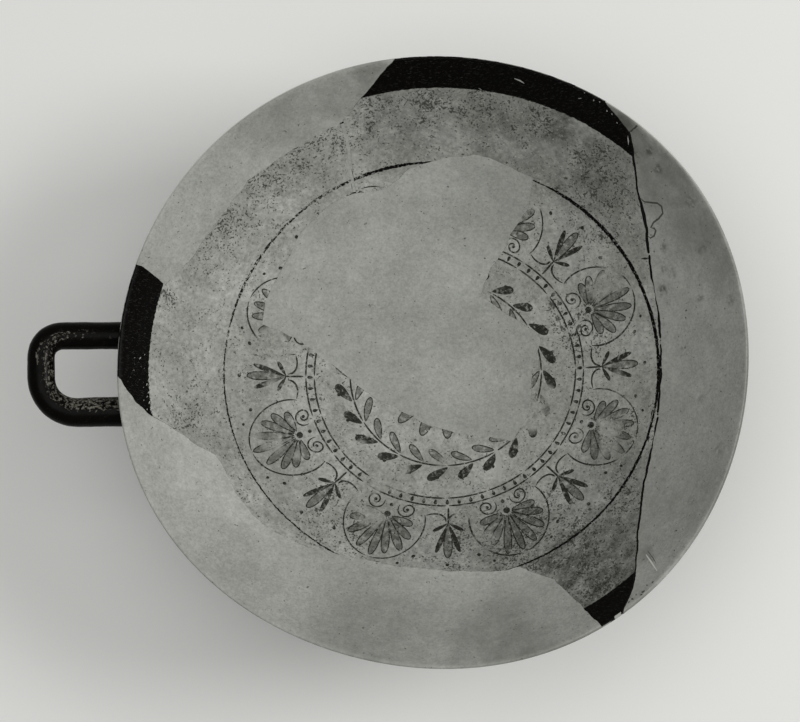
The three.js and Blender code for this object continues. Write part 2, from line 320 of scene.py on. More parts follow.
# Moves break lines off their straight runs. Both sides of a joint take the same noise, which
# fades out towards the rim in the radial direction so that the rim keeps its circle.
def wandered(points, onRim):
    moved = points.copy()
    for seed, (wavelength, reach) in enumerate(bowl["wander"]):
        moved[:, 0] += reach * ripple(points, wavelength, 20 + seed)
        moved[:, 1] += reach * ripple(points, wavelength, 40 + seed)
    along = np.hypot(*points.T)
    radial = points / along[:, None]
    outwards = ((moved - points) * radial).sum(1)
    held = 1 - np.clip((rimArc - along) / bowl["fadeAtRim"], 0, 1)
    moved -= (outwards * held)[:, None] * radial
    moved[onRim] *= (rimArc / np.hypot(*moved[onRim].T))[:, None]
    return moved


# Moves each point of a loop outwards, across the line through its two neighbours. Points at the
# rim stay on it.
def pushOut(loop, push):
    along = np.roll(loop, -1, 0) - np.roll(loop, 1, 0)
    outwards = np.stack([along[:, 1], -along[:, 0]], 1) / (np.hypot(*along.T)[:, None] + 1e-6)
    moved = loop + outwards * push[:, None]
    onRim = np.hypot(*loop.T) > rimArc - bowl["rimWithin"][1]
    moved[onRim] *= (rimArc / np.hypot(*moved[onRim].T))[:, None]
    return moved


# Where a loop crosses itself within a few steps, the curl is drawn together at the crossing.
def uncurled(loop):
    loop = loop.copy()
    for reach in range(2, bowl["curlSteps"]):
        start = loop.copy()
        run = np.roll(start, -1, 0) - start
        between = np.roll(start, -reach, 0) - start
        other = np.roll(run, -reach, 0)
        turn = run[:, 0] * other[:, 1] - run[:, 1] * other[:, 0]
        turn = np.where(np.abs(turn) < 1e-12, 1e-12, turn)
        share = (between[:, 0] * other[:, 1] - between[:, 1] * other[:, 0]) / turn
        otherShare = (between[:, 0] * run[:, 1] - between[:, 1] * run[:, 0]) / turn
        crosses = (share > 0) & (share < 1) & (otherShare > 0) & (otherShare < 1)
        for number in np.flatnonzero(crosses):
            curl = (number + 1 + np.arange(reach)) % len(loop)
            loop[curl] = start[number] + share[number] * run[number]
    return loop


# Pushes a closed joint's two sides together, each by half of what is to be closed. The open
# crack is closed a little, and opened again round its wide places.
def closeJoints(outlines):
    closed = {}
    for node, points in outlines.items():
        others = np.concatenate([o for name, o in outlines.items() if name != node])
        gap = nearest(points, others)[1]
        ease = np.full(len(points), bowl["crackClosed"])
        for bearing, share, reach, extra in bowl["crackWide"]:
            away = np.hypot(*(points - flatAt(bearing, share)).T)
            ease -= extra * np.exp(-(away / reach) ** 2)
        isOpen = gap > bowl["tightGap"]
        ease = np.where(gap < bowl["crackGap"], ease, 0)
        push = np.clip((gap - bowl["closedJoint"]) / 2, 0, None)
        moved = pushOut(points, np.where(isOpen, ease, push))
        closed[node] = (uncurled(moved), np.where(isOpen, gap - 2 * ease, gap))
    return closed


# Triangles inside a loop: a hexagonal grid of points, the loop and the figures drawn on it, all
# joined so that every line of a figure runs along edges. A triangle takes the tone of the last
# figure that holds its middle.
def fillLoop(loop, spacing, figures=()):
    low, high = loop.min(0), loop.max(0)
    rows = np.arange(low[1], high[1], spacing * math.sqrt(0.75))
    gridX, gridY = np.meshgrid(np.arange(low[0], high[0] + spacing, spacing), rows)
    gridX = gridX + spacing / 2 * (np.arange(len(rows)) % 2)[:, None]
    grid = np.stack([gridX.ravel(), gridY.ravel()], 1)
    grid = grid[insideLoop(grid, loop)]
    outlines = [loop, *[shape for shape, tone in figures]]
    drawn = np.concatenate(outlines)
    grid = grid[nearest(grid, drawn)[1] > bowl["gridClear"] * spacing]
    edges = []
    first = 0
    for outline in outlines:
        numbers = first + np.arange(len(outline))
        edges += list(zip(numbers.tolist(), np.roll(numbers, -1).tolist()))
        first += len(outline)
    places = [Vector(p) for p in np.concatenate([drawn, grid]).tolist()]
    found = delaunay_2d_cdt(places, edges, [], 0, 1e-5)
    points = np.array([p[:] for p in found[0]])
    triangles = np.array(found[2])
    corners = points[triangles]
    used, triangles = np.unique(triangles[insideLoop(corners.mean(1), loop)], return_inverse=True)
    points, triangles = points[used], triangles.reshape(-1, 3)
    corners = points[triangles]
    a, b = corners[:, 1] - corners[:, 0], corners[:, 2] - corners[:, 0]
    turnedOver = a[:, 0] * b[:, 1] < a[:, 1] * b[:, 0]
    triangles[turnedOver] = triangles[turnedOver][:, ::-1]
    middles = corners.mean(1)
    tones = np.zeros(len(triangles))
    for shape, tone in figures:
        near = ((middles > shape.min(0)) & (middles < shape.max(0))).all(1)
        if near.any():
            numbers = np.flatnonzero(near)
            tones[numbers[insideLoop(middles[numbers], shape)]] = tone
    return points, triangles, tones


# Turns points in millimetres and faces into a mesh object at the origin that rides on the cup.
def makePiece(name, points, faces, materials, faceMaterials, attributes, sharpAngle=40):
    mesh = bpy.data.meshes.new(name)
    mesh.vertices.add(len(points))
    mesh.vertices.foreach_set("co", (points * mm).ravel())
    mesh.loops.add(faces.size)
    mesh.loops.foreach_set("vertex_index", faces.ravel())
    mesh.polygons.add(len(faces))
    mesh.polygons.foreach_set("loop_start", np.arange(0, faces.size, faces.shape[1]))
    mesh.polygons.foreach_set("material_index", np.asarray(faceMaterials, int))
    for material in materials:
        mesh.materials.append(material)
    for label, domain, kind, values in attributes:
        attribute = mesh.attributes.new(label, kind, domain)
        field = "vector" if kind == "FLOAT_VECTOR" else "value"
        attribute.data.foreach_set(field, np.asarray(values, np.float32).ravel())
    mesh.update(calc_edges=True)
    mesh.validate()
    mesh.shade_smooth()
    mesh.set_sharp_from_angle(angle=math.radians(sharpAngle))
    piece = bpy.data.objects.new(name, mesh)
    bpy.context.scene.collection.objects.link(piece)
    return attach(piece, "root")


# Ornament inside the ring line: a frieze of palmettes and buds, and a leaf wreath within it,
# both age-old patterns. Lengths in millimetres on the map.
ornament = {
    "repeats": 8,
    "firstBearing": 22.5,
    "friezeStart": 70.0,  # from the middle of the floor
    "line": 0.85,
    "outline": 0.6,
    "petals": 9,
    "petalSpread": 78.0,  # degrees to each side
    "petalLengths": (12.0, 22.0),  # outermost and middle petal
    "petalWidth": 4.9,
    "fanHeight": 8.5,
    "volute": 4.8,
    "voluteAt": (8.4, 3.4),
    "loop": 20.5,  # radius of the tendril round a palmette
    "dots": [(21.5, 28.5, 1.0), (15.5, 34.0, 0.8)],  # sideways, outwards and radius
    # Turn in degrees, length, width and tone of a bud's leaves
    "budLeaves": [
        (0, 20, 5.4, 0.5), (-20, 18, 3.4, 1), (20, 18, 3.4, 1), (-58, 9, 2.6, 1), (58, 9, 2.6, 1),
    ],
    "rails": (-1.2, -5.4),  # of the tongue band, from the frieze's start
    "railArcs": 20,
    "tongues": (72, 3.0, 2.3),  # how many, length and width
    "wreath": 47.0,
    "leaf": (11.5, 4.6),
    "leafTurn": 34.0,
    "leaves": 24,
    "stems": 12,
    "rosette": (11.0, 22.0, 6.6),  # start, length and width of its petals
    "rosettePetals": 16,
    "seed": 11,
}


# A drop from the root outwards: half its width is the sine of the run round it, drawn in
# towards the root by the square root of how far out it is.
def petal(root, angle, length, width, points=22):
    turn = np.linspace(0, 2 * math.pi, points, endpoint=False)
    out = (1 - np.cos(turn)) / 2
    along = length * out
    across = width / 2 * np.sin(turn) * np.sqrt(out + 0.04)
    c, s = math.sin(angle), math.cos(angle)
    return np.stack([root[0] + along * c + across * s, root[1] + along * s - across * c], 1)


# A brush line: the path moved to both sides by half its width, which tapers at the ends.
def brushLine(path, width):
    path = np.asarray(path, float)
    along = np.gradient(path, axis=0)
    along /= np.hypot(*along.T)[:, None]
    share = np.linspace(0, 1, len(path))
    half = width / 2 * np.minimum(1, 0.35 + 6 * np.minimum(share, 1 - share))
    side = np.stack([-along[:, 1], along[:, 0]], 1) * half[:, None]
    return np.concatenate([path + side, (path - side)[::-1]])


# An arc or spiral: the radius goes evenly from the first to the last value over the turn.
def spiral(centre, radii, angles, points):
    turn = np.radians(np.linspace(*angles, points))
    radius = np.linspace(*radii, points)
    return np.stack([centre[0] + radius * np.cos(turn), centre[1] + radius * np.sin(turn)], 1)


# A round dot, as nine points on its circle.
def dot(centre, radius):
    return spiral(centre, (radius, radius), (0, 330), 9)


# Lays a shape, drawn sideways and outwards in millimetres, at a bearing and start on the map.
def layOut(shape, bearing, start):
    along = start + shape[:, 1]
    turn = math.radians(bearing) - shape[:, 0] / along
    return np.stack([along * np.cos(turn), along * np.sin(turn)], 1)


# A leaf in thinned wash with a black outline.
def washedLeaf(root, angle, length, width, points=22):
    leaf = petal(root, angle, length, width, points)
    outline = brushLine(np.concatenate([leaf, leaf[:1]]), ornament["outline"])
    return [(leaf, 0.5), (outline, 1)]


# One palmette between two volutes in its loop of tendril, with a link on the way to the next.
def palmette(random):
    line = ornament["line"]
    root = (0, ornament["fanHeight"])
    shapes = []
    short, long = ornament["petalLengths"]
    for share in np.linspace(-1, 1, ornament["petals"]):
        length = (long + (short - long) * share ** 2) * random.uniform(0.94, 1.05)
        angle = math.radians(ornament["petalSpread"] * share + random.uniform(-2, 2))
        start = (root[0] + 2.6 * math.sin(angle), root[1] + 2.6 * math.cos(angle))
        shapes += washedLeaf(start, angle, length, ornament["petalWidth"])
    shapes.append((spiral(root, (1.7, 1.7), (0, 345), 14), 1))
    size, at, around = ornament["volute"], ornament["voluteAt"], ornament["loop"]
    for side in (-1, 1):
        mirror = np.array([side, 1])
        curl = spiral(at, (size, 1.1), (200, -300), 44)
        shapes.append((brushLine(curl * mirror, line), 1))
        shapes.append((dot(at, 0.9) * mirror, 1))
        loop = spiral((0, 15), (around, around - 0.8), (-31, 87), 40)
        shapes.append((brushLine(loop * mirror, line * random.uniform(0.9, 1.15)), 1))
        link = spiral((24, 11.5), (9.0, 6.6), (231, 326), 24)
        shapes.append((brushLine(link * mirror, line), 1))
        shapes += [(dot((side * x, y), radius), 1) for x, y, radius in ornament["dots"]]
    shapes.append((dot((0, 3.0), 1.0), 1))
    return shapes


# A lotus bud: a broad middle leaf in thinned wash between narrow black ones, on a stem.
def bud(random):
    shapes = []
    root = (0, ornament["fanHeight"])
    for degrees, length, width, tone in ornament["budLeaves"]:
        angle = math.radians(degrees + random.uniform(-1.5, 1.5))
        black = [(petal(root, angle, length, width), 1)]
        shapes += washedLeaf(root, angle, length, width) if tone < 1 else black
    shapes.append((brushLine(np.stack([np.zeros(9), np.linspace(0, 9, 9)], 1), 1.0), 1))
    shapes.append((dot((0, 32.5), 1.0), 1))
    return shapes


# The whole ornament as closed shapes on the map, each with its tone: 1 for black gloss, 0.5 for
# a thinned wash of it.
def drawOrnament():
    random = np.random.default_rng(ornament["seed"])
    figures = []

    def add(shapes, bearing, start):
        figures.extend((layOut(shape, bearing, start), tone) for shape, tone in shapes)

    step = 360 / ornament["repeats"]
    start = ornament["friezeStart"]
    for i in range(ornament["repeats"]):
        bearing = ornament["firstBearing"] + step * i + random.uniform(-0.6, 0.6)
        add(palmette(random), bearing, start)
        add(bud(random), bearing + step / 2, start)
    arc = 360 / ornament["railArcs"]
    for along in start + np.array(ornament["rails"]):
        for i in range(ornament["railArcs"]):
            ends = arc * i + random.uniform(0, 1.2), arc * (i + 1) - random.uniform(0, 1.2)
            figures.append((brushLine(spiral((0, 0), (along, along), ends, 30), 0.9), 1))
    count, length, width = ornament["tongues"]
    for i in range(count):
        add([(petal((0, 0), 0, length, width, 10), 1)], 360 / count * i, start - 4.8)
    wreath = ornament["wreath"]
    length, width = ornament["leaf"]
    for i in range(ornament["leaves"]):
        bearing = 360 / ornament["leaves"] * i
        for side in (-1, 1):
            turn = math.radians(90 - side * ornament["leafTurn"] + random.uniform(-4, 4))
            long = length * random.uniform(0.9, 1.08)
            leaf = washedLeaf((0, 1.0 * side), turn, long, width, 18)
            add([(shape, max(tone, side)) for shape, tone in leaf], bearing, wreath)
        add([(dot((5.0, 6.4), 1.0), 1)], bearing, wreath)
    arc = 360 / ornament["stems"]
    for i in range(ornament["stems"]):
        stem = spiral((0, 0), (wreath, wreath), (arc * i, arc * i + arc - 1), 30)
        figures.append((brushLine(stem, 0.9), 1))
    start, length, width = ornament["rosette"]
    for i in range(ornament["rosettePetals"]):
        leaf = washedLeaf((0, 0), 0, length * random.uniform(0.96, 1.03), width)
        add(leaf, 360 / ornament["rosettePetals"] * i, start)
    return figures


# Marks of damage. Places are a bearing in degrees and a share of the rim's radius, and sizes are
# in millimetres. Lines have a width, a tone and a path, where tone -1 is bare and 1 is dark.
damage = {
    "bandFlakes": [
        (59.7, 0.989, 1.0), (57.6, 0.987, 1.1), (56.4, 0.986, 0.9), (54.6, 0.98, 1.2),
        (53.3, 0.975, 1.0), (51.9, 0.966, 0.9),
    ],
    "handleFlakes": [
        (182.8, 0.918, 1.6), (185.9, 0.93, 0.9), (177.4, 0.938, 1.6), (177.3, 0.952, 0.8),
        (176.5, 0.924, 0.9), (186.6, 0.917, 2.0), (185.2, 0.921, 1.2), (187.4, 0.915, 1.6),
        (187.9, 0.924, 1.1), (184.4, 0.916, 1.3),
    ],
    "lostCorner": [(48.8, 0.952), (48.5, 0.943), (47.6, 0.93), (48.0, 0.941)],
    "sherdLines": [
        (2.6, -1, [(301.6, 0.3), (299.4, 0.335), (297.0, 0.372), (294.7, 0.405)]),
        (0.9, -1, [(73.1, 0.961), (72.0, 0.959), (71.1, 0.955)]),
        (0.7, -1, [(79.8, 0.917), (79.2, 0.913)]),
        (0.8, -1, [(60.4, 0.968), (59.9, 0.972)]),
        (1.2, 1, [(27.5, 0.734), (27.0, 0.744), (26.4, 0.757)]),
        (0.9, 1, [(347.4, 0.694), (345.5, 0.692), (344.0, 0.694)]),
        (0.9, 1, [(343.2, 0.696), (341.6, 0.699), (340.3, 0.702)]),
        (0.7, 1, [(339.6, 0.703), (338.5, 0.706), (337.6, 0.71)]),
    ],
    "fillLines": {
        "right_side_fill": [
            (1.0, 1, [
                (39.0, 0.841), (37.5, 0.844), (36.5, 0.856), (35.3, 0.871), (34.2, 0.875),
                (32.9, 0.866), (32.6, 0.846), (32.7, 0.827), (32.2, 0.811), (31.6, 0.818),
                (30.9, 0.818), (30.2, 0.805), (30.3, 0.792), (31.0, 0.789),
            ]),
            (2.6, 1, [(49.1, 0.963), (48.9, 0.969), (48.6, 0.977)]),
            (1.5, 1, [(48.9, 0.968), (48.5, 0.98), (48.1, 0.994)]),
            (0.9, -1, [(314.8, 0.905), (314.4, 0.935), (313.9, 0.968)]),
            (0.5, 1, [(315.6, 0.9), (315.2, 0.93), (314.8, 0.95)]),
        ],
        "top_joint_fill": [
            (0.4, 1, [(111.4, 0.73), (111.6, 0.72), (111.9, 0.71)]),
            (0.4, 1, [(113.2, 0.69), (113.5, 0.68), (113.7, 0.672)]),
        ],
    },
    "fillPits": [
        (26.9, 0.779, 1.2), (11.0, 0.804, 1.4), (9.7, 0.8, 1.3), (306.6, 0.98, 1.5),
        (307.3, 0.984, 1.9), (308.0, 0.979, 1.2), (308.6, 0.985, 1.7), (309.4, 0.98, 1.4),
        (309.9, 0.985, 2.2), (310.8, 0.98, 1.3), (311.6, 0.984, 1.6), (322.0, 0.93, 1.4),
        (319.0, 0.965, 1.2),
    ],
    # Pale spots among the pits on the lip: chips, and a painted highlight of a glint
    "fillChips": [(309.2, 0.99, 1.1, 2.6, 1.4), (310.6, 0.989, 1.3, 1.6, 1.0)],  # with turn and width
}


# The marks on the sherds, and those on each fill, as closed shapes on the map with their tones.
# Flakes, pits, chips and a painted highlight of a glint are small drops, each turned another
# way than the last.
def drawDamage():
    def strokes(lines):
        return [
            (brushLine([flatAt(*point) for point in path], width), tone)
            for width, tone, path in lines
        ]

    sherds = []
    for i, (bearing, share, size) in enumerate(damage["bandFlakes"]):
        flake = petal(flatAt(bearing, share), 0.6 + 3 * i, size, 0.8 * size, 9)
        sherds.append((flake - 0.3 * size, -1))
    for i, (bearing, share, size) in enumerate(damage["handleFlakes"]):
        flake = petal(flatAt(bearing, share), 0.2 + 0.25 * (i % 4), size, 0.45 * size, 9)
        sherds.append((flake, -1))
    sherds.append((np.array([flatAt(*point) for point in damage["lostCorner"]]), -1))
    sherds += strokes(damage["sherdLines"])
    fills = {node: strokes(lines) for node, lines in damage["fillLines"].items()}
    pitted = fills["right_side_fill"]
    for i, (bearing, share, size) in enumerate(damage["fillPits"]):
        pitted.append((petal(flatAt(bearing, share), 1.3 * i, size, 0.8 * size, 9), 1))
    # Chips, and a painted highlight of a glint, as pale drops
    for bearing, share, turn, length, width in damage["fillChips"]:
        pitted.append((petal(flatAt(bearing, share), turn, length, width, 9), -1))
    return sherds, fills


# Circles of the painted bands, as distances along the inner face: where the rim band ends, and
# the ring line. Both wander a little from true, as a brush held to a turning cup does.
bands = {
    "rimBand": 0.9135,
    "rimBandShift": [(1, 0.0045, 125.0), (3, 0.001, 20.0)],  # lobes, share of the rim, bearing
    "ring": 0.698,
    "ringShift": [(1, 0.003, 100.0), (2, 0.0022, 30.0), (5, 0.0009, 80.0)],
}


def bandEdge(bearing, share, shifts):
    for lobes, reach, towards in shifts:
        share = share - reach * np.cos(lobes * (bearing - math.radians(towards)))
    return alongAt(share)


# Height of the inner face above the true arc: low throwing rings and a slow unevenness, which
# fade towards the rim.
def unevenHeight(flat, kind):
    along = np.hypot(*flat.T)
    wavelength, height = bowl["unevenness"][kind]
    rings = bowl["wheelRingHeight"] * np.cos(2 * math.pi * along / bowl["wheelRing"])
    slow = height * ripple(flat, wavelength, 3 if kind == "sherd" else 4)
    fade = np.clip((rimArc - along) / bowl["fadeAtRim"], 0, 1)
    return (rings * (kind == "sherd") + slow) * fade ** 2 * (3 - 2 * fade)


# How far a joint slants where it reaches the rim: its run sideways over its run outwards, which
# fades along the rim.
def lipSlant(edge, starts, ends):
    steps, limit, fade = bowl["slant"]
    slant = np.zeros(len(edge))
    for corners, back in ((starts, -steps), (ends, steps)):
        for corner in np.flatnonzero(corners):
            radial = edge[corner] / np.hypot(*edge[corner])
            run = edge[corner] - edge[(corner + back) % len(edge)]
            sideways = radial[0] * run[1] - radial[1] * run[0]
            held = np.clip(1 - np.hypot(*(edge - edge[corner]).T) / fade, 0, 1)
            slant += np.clip(sideways / (run @ radial), -limit, limit) * held
    return slant


# A piece of the bowl: inner face, outer face and the sides between them. A side column goes
# through the wall at a break and round the lip's half circle at the rim. Where a break meets the
# rim both columns stand on one point, and the strip between them closes the end. The crack's
# sides come together below the surface, where old glue and dirt fill it.
def bowlPiece(node, loop, gap, kind, figures, materials):
    flat, triangles, tones = fillLoop(loop, bowl["spacing"], figures)
    edge = edgeLoop(triangles, len(flat))
    edgeFlat = flat[edge]
    edgeGap = gap[nearest(edgeFlat, loop)[0]]
    isOpen = (edgeGap > bowl["tightGap"] / 2) & (edgeGap < bowl["crackWidest"])
    closing = np.clip(edgeGap / 2 - bowl["crackFoot"], 0, None)
    deep = uncurled(pushOut(edgeFlat, np.where(isOpen, closing, 0)))
    outerFlat, outerTriangles, _ = fillLoop(deep, bowl["outerSpacing"])
    outerEdge = nearest(deep, outerFlat)[0]

    onRim = np.hypot(*edgeFlat.T) > rimArc - bowl["rimWithin"][1]
    starts, ends = onRim & ~np.roll(onRim, 1), onRim & ~np.roll(onRim, -1)
    columns = 1 + starts + ends
    which = np.repeat(np.arange(len(edge)), columns)
    order = np.arange(len(which)) - np.repeat(np.cumsum(columns) - columns, columns)
    firstStraight = starts[which] & (order == 0)
    lastStraight = ends[which] & (order == columns[which] - 1)
    rounded = onRim[which] & ~firstStraight & ~lastStraight

    steps = np.linspace(0, 1, cup["lipSteps"] + 1)
    closing = np.clip(steps * bowl["crackSteepness"], 0, 1)[:, None] ** 2
    sideFlat = edgeFlat[which][:, None] * (1 - closing) + deep[which][:, None] * closing
    bearing = np.arctan2(sideFlat[..., 1], sideFlat[..., 0])
    top = -unevenHeight(edgeFlat, kind)[which][:, None]
    wall = wallAt(np.hypot(sideFlat[..., 0], sideFlat[..., 1]))
    turn = lipAngle + math.pi / 2 - math.pi * steps
    lipMiddle = arcRadius + lipRound
    rounding = lipRound - cup["lipInset"] * 4 * steps * (1 - steps)
    radius = lipMiddle * math.sin(lipAngle) + rounding * np.cos(turn)
    height = arcHeight - lipMiddle * math.cos(lipAngle) + rounding * np.sin(turn)
    slant = lipSlant(edgeFlat, starts, ends)[which][:, None]
    lipBearing = bearing + slant * lipRound / rimArc * np.sin(math.pi * steps)
    lip = standUp(radius + 0 * bearing, height + 0 * bearing, lipBearing)
    depth = top * (1 - steps) + wall * steps
    side = np.where(rounded[:, None, None], lip, wallPoint(sideFlat, depth))
    depth = np.where(rounded[:, None], lipRound * (1 - np.cos(math.pi * steps)), depth)

    outerDepth = wallAt(np.hypot(*outerFlat.T))
    inner = wallPoint(flat, -unevenHeight(flat, kind))
    outer = wallPoint(outerFlat, outerDepth)
    points = np.concatenate([inner, outer, side[:, 1:-1].reshape(-1, 3)])
    maps = np.concatenate([
        np.column_stack([flat, np.zeros(len(flat))]),
        np.column_stack([outerFlat, outerDepth]),
        np.concatenate([sideFlat, depth[..., None]], -1)[:, 1:-1].reshape(-1, 3),
    ])
    numbers = np.arange(len(which) * (len(steps) - 2)).reshape(len(which), -1)
    column = np.column_stack([
        edge[which], len(inner) + len(outer) + numbers, len(inner) + outerEdge[which],
    ])
    nextColumn = np.roll(column, -1, 0)
    here, there = (column[:, :-1], column[:, 1:]), (nextColumn[:, :-1], nextColumn[:, 1:])
    sides = np.stack([
        np.stack([here[1], there[1], there[0]], -1), np.stack([here[1], there[0], here[0]], -1),
    ], 2).reshape(-1, 3)
    perColumn = 2 * (len(steps) - 1)
    isLip = (rounded & np.roll(rounded, -1)).repeat(perColumn)
    isDirty = isOpen[which].repeat(perColumn)

    faces = np.concatenate([triangles, outerTriangles[:, ::-1] + len(inner), sides])
    faceMaterials = np.concatenate([
        np.zeros(len(triangles)), np.ones(len(outerTriangles)),
        np.where(isLip, 0, np.where(isDirty, 3, 2)),
    ])
    bearing = np.degrees(np.arctan2(*edgeFlat[which].T[::-1])) % 360
    chipped = sum((bearing > start) & (bearing < end) for start, end in bowl["lipChips"]) > 0
    lipTones = np.where(chipped.repeat(perColumn) & isLip, -1, 0)
    tones = np.concatenate([tones, np.zeros(len(outerTriangles)), lipTones])
    whole = (faces != np.roll(faces, 1, 1)).all(1)
    faces, faceMaterials, tones = faces[whole], faceMaterials[whole], tones[whole]
    along = np.hypot(maps[:, 0], maps[:, 1])
    bearing = np.arctan2(maps[:, 1], maps[:, 0])
    rings = np.column_stack([
        along - bandEdge(bearing, bands["rimBand"], bands["rimBandShift"]),
        along - bandEdge(bearing, bands["ring"], bands["ringShift"]),
        along,
    ])
    words = node.split("_")
    name = words[0] + "".join(word.title() for word in words[1:])
    attributes = [
        ("map", "POINT", "FLOAT_VECTOR", maps),
        ("rings", "POINT", "FLOAT_VECTOR", rings),
        ("tone", "CORNER", "FLOAT", tones.repeat(3)),
    ]
    piece = makePiece(name, points, faces, materials, faceMaterials, attributes)
    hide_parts(node)
    return piece


# Materials

# Feeds a node's inputs, each with a value or from the node or socket that it comes from.
def feed(tree, node, inputs):
    for name, value in inputs.items():
        if isinstance(value, bpy.types.Node):
            value = value.outputs[0]
        if isinstance(value, bpy.types.NodeSocket):
            tree.links.new(value, node.inputs[name])
        else:
            node.inputs[name].default_value = value


# Adds a shader node with its settings and its inputs.
def addNode(tree, kind, settings, inputs):
    node = tree.nodes.new("ShaderNode" + kind)
    for name, value in settings.items():
        setattr(node, name, value)
    feed(tree, node, inputs)
    return node


plus = {"operation": "ADD"}
minus = {"operation": "SUBTRACT"}
times = {"operation": "MULTIPLY"}
timesPlus = {"operation": "MULTIPLY_ADD"}
most = {"operation": "MAXIMUM"}
unsigned = {"operation": "ABSOLUTE"}
scaled = {"operation": "SCALE"}
distance = {"operation": "DISTANCE"}
softly = {"interpolation_type": "SMOOTHSTEP"}


# A new material with its node tree and its main shader.
def newMaterial(name):
    material = bpy.data.materials.new(name)
    material.use_nodes = True
    tree = material.node_tree
    surface = next(node for node in tree.nodes if node.type == "BSDF_PRINCIPLED")
    return material, tree, surface


# Patches about so many millimetres across: noise, cut off softly between two levels, from 0 up
# to the given strength.
def patches(tree, place, size, low, high, detail=2.0, strength=1.0):
    noise = addNode(tree, "TexNoise", {}, {
        "Vector": place, "Scale": 1 / (size * mm), "Detail": detail, "Roughness": 0.55,
    })
    return addNode(tree, "MapRange", softly, {
        "Value": noise, "From Min": low, "From Max": high, "To Max": strength,
    })


# Sum of shading: each part is a size in millimetres and a strength, and adds noise about zero
# times its strength to 1.
def mottle(tree, place, parts):
    total = 1.0
    for size, strength in parts:
        noise = addNode(tree, "TexNoise", {}, {
            "Vector": place, "Scale": 1 / (size * mm), "Detail": 1.5, "Roughness": 0.6,
        })
        centred = addNode(tree, "Math", minus, {0: noise, 1: 0.5})
        total = addNode(tree, "Math", timesPlus, {0: centred, 1: strength, 2: total})
    return total


# Soft round zones on the map, each at a bearing and share with its radius in millimetres and
# its strength. Their edges are drawn ragged by noise, and where two overlap the stronger counts.
def zones(tree, place, flat, places, ragged):
    shift = addNode(tree, "TexNoise", {}, {"Vector": place, "Scale": 1 / (14 * mm), "Detail": 2.0})
    shift = addNode(tree, "VectorMath", minus, {0: shift.outputs[1], 1: (0.5, 0.5, 0.5)})
    flat = addNode(tree, "VectorMath", times, {0: flat, 1: (1, 1, 0)})
    flat = addNode(tree, "VectorMath", timesPlus, {0: shift, 1: (ragged, ragged, 0), 2: flat})
    total = 0.0
    for bearing, share, radius, strength in places:
        centre = (*flatAt(bearing, share), 0)
        away = addNode(tree, "VectorMath", distance, {0: flat, 1: centre}).outputs["Value"]
        zone = addNode(tree, "MapRange", softly, {
            "Value": away, "From Min": radius, "From Max": radius * 0.25, "To Max": strength,
        })
        total = addNode(tree, "Math", most, {0: total, 1: zone})
    return total


# Fine scratches: noise drawn out thirty times as long as wide, and only its peaks.
def scratches(tree, place, turn, size, low, strength=1.0):
    turned = addNode(tree, "Mapping", {}, {
        "Vector": place, "Rotation": (0, 0, math.radians(turn)), "Scale": (1, 30, 1),
    })
    return patches(tree, turned, size, low, low + 0.05, 1.0, strength)


# Coats of colour over a ground, one after the other, each with how much of it shows.
def coats(tree, ground, look, layers):
    for shown, colour in layers:
        ground = addNode(tree, "MixRGB", {}, {
            "Fac": shown, "Color1": ground, "Color2": linear(look[colour]),
        })
    return ground


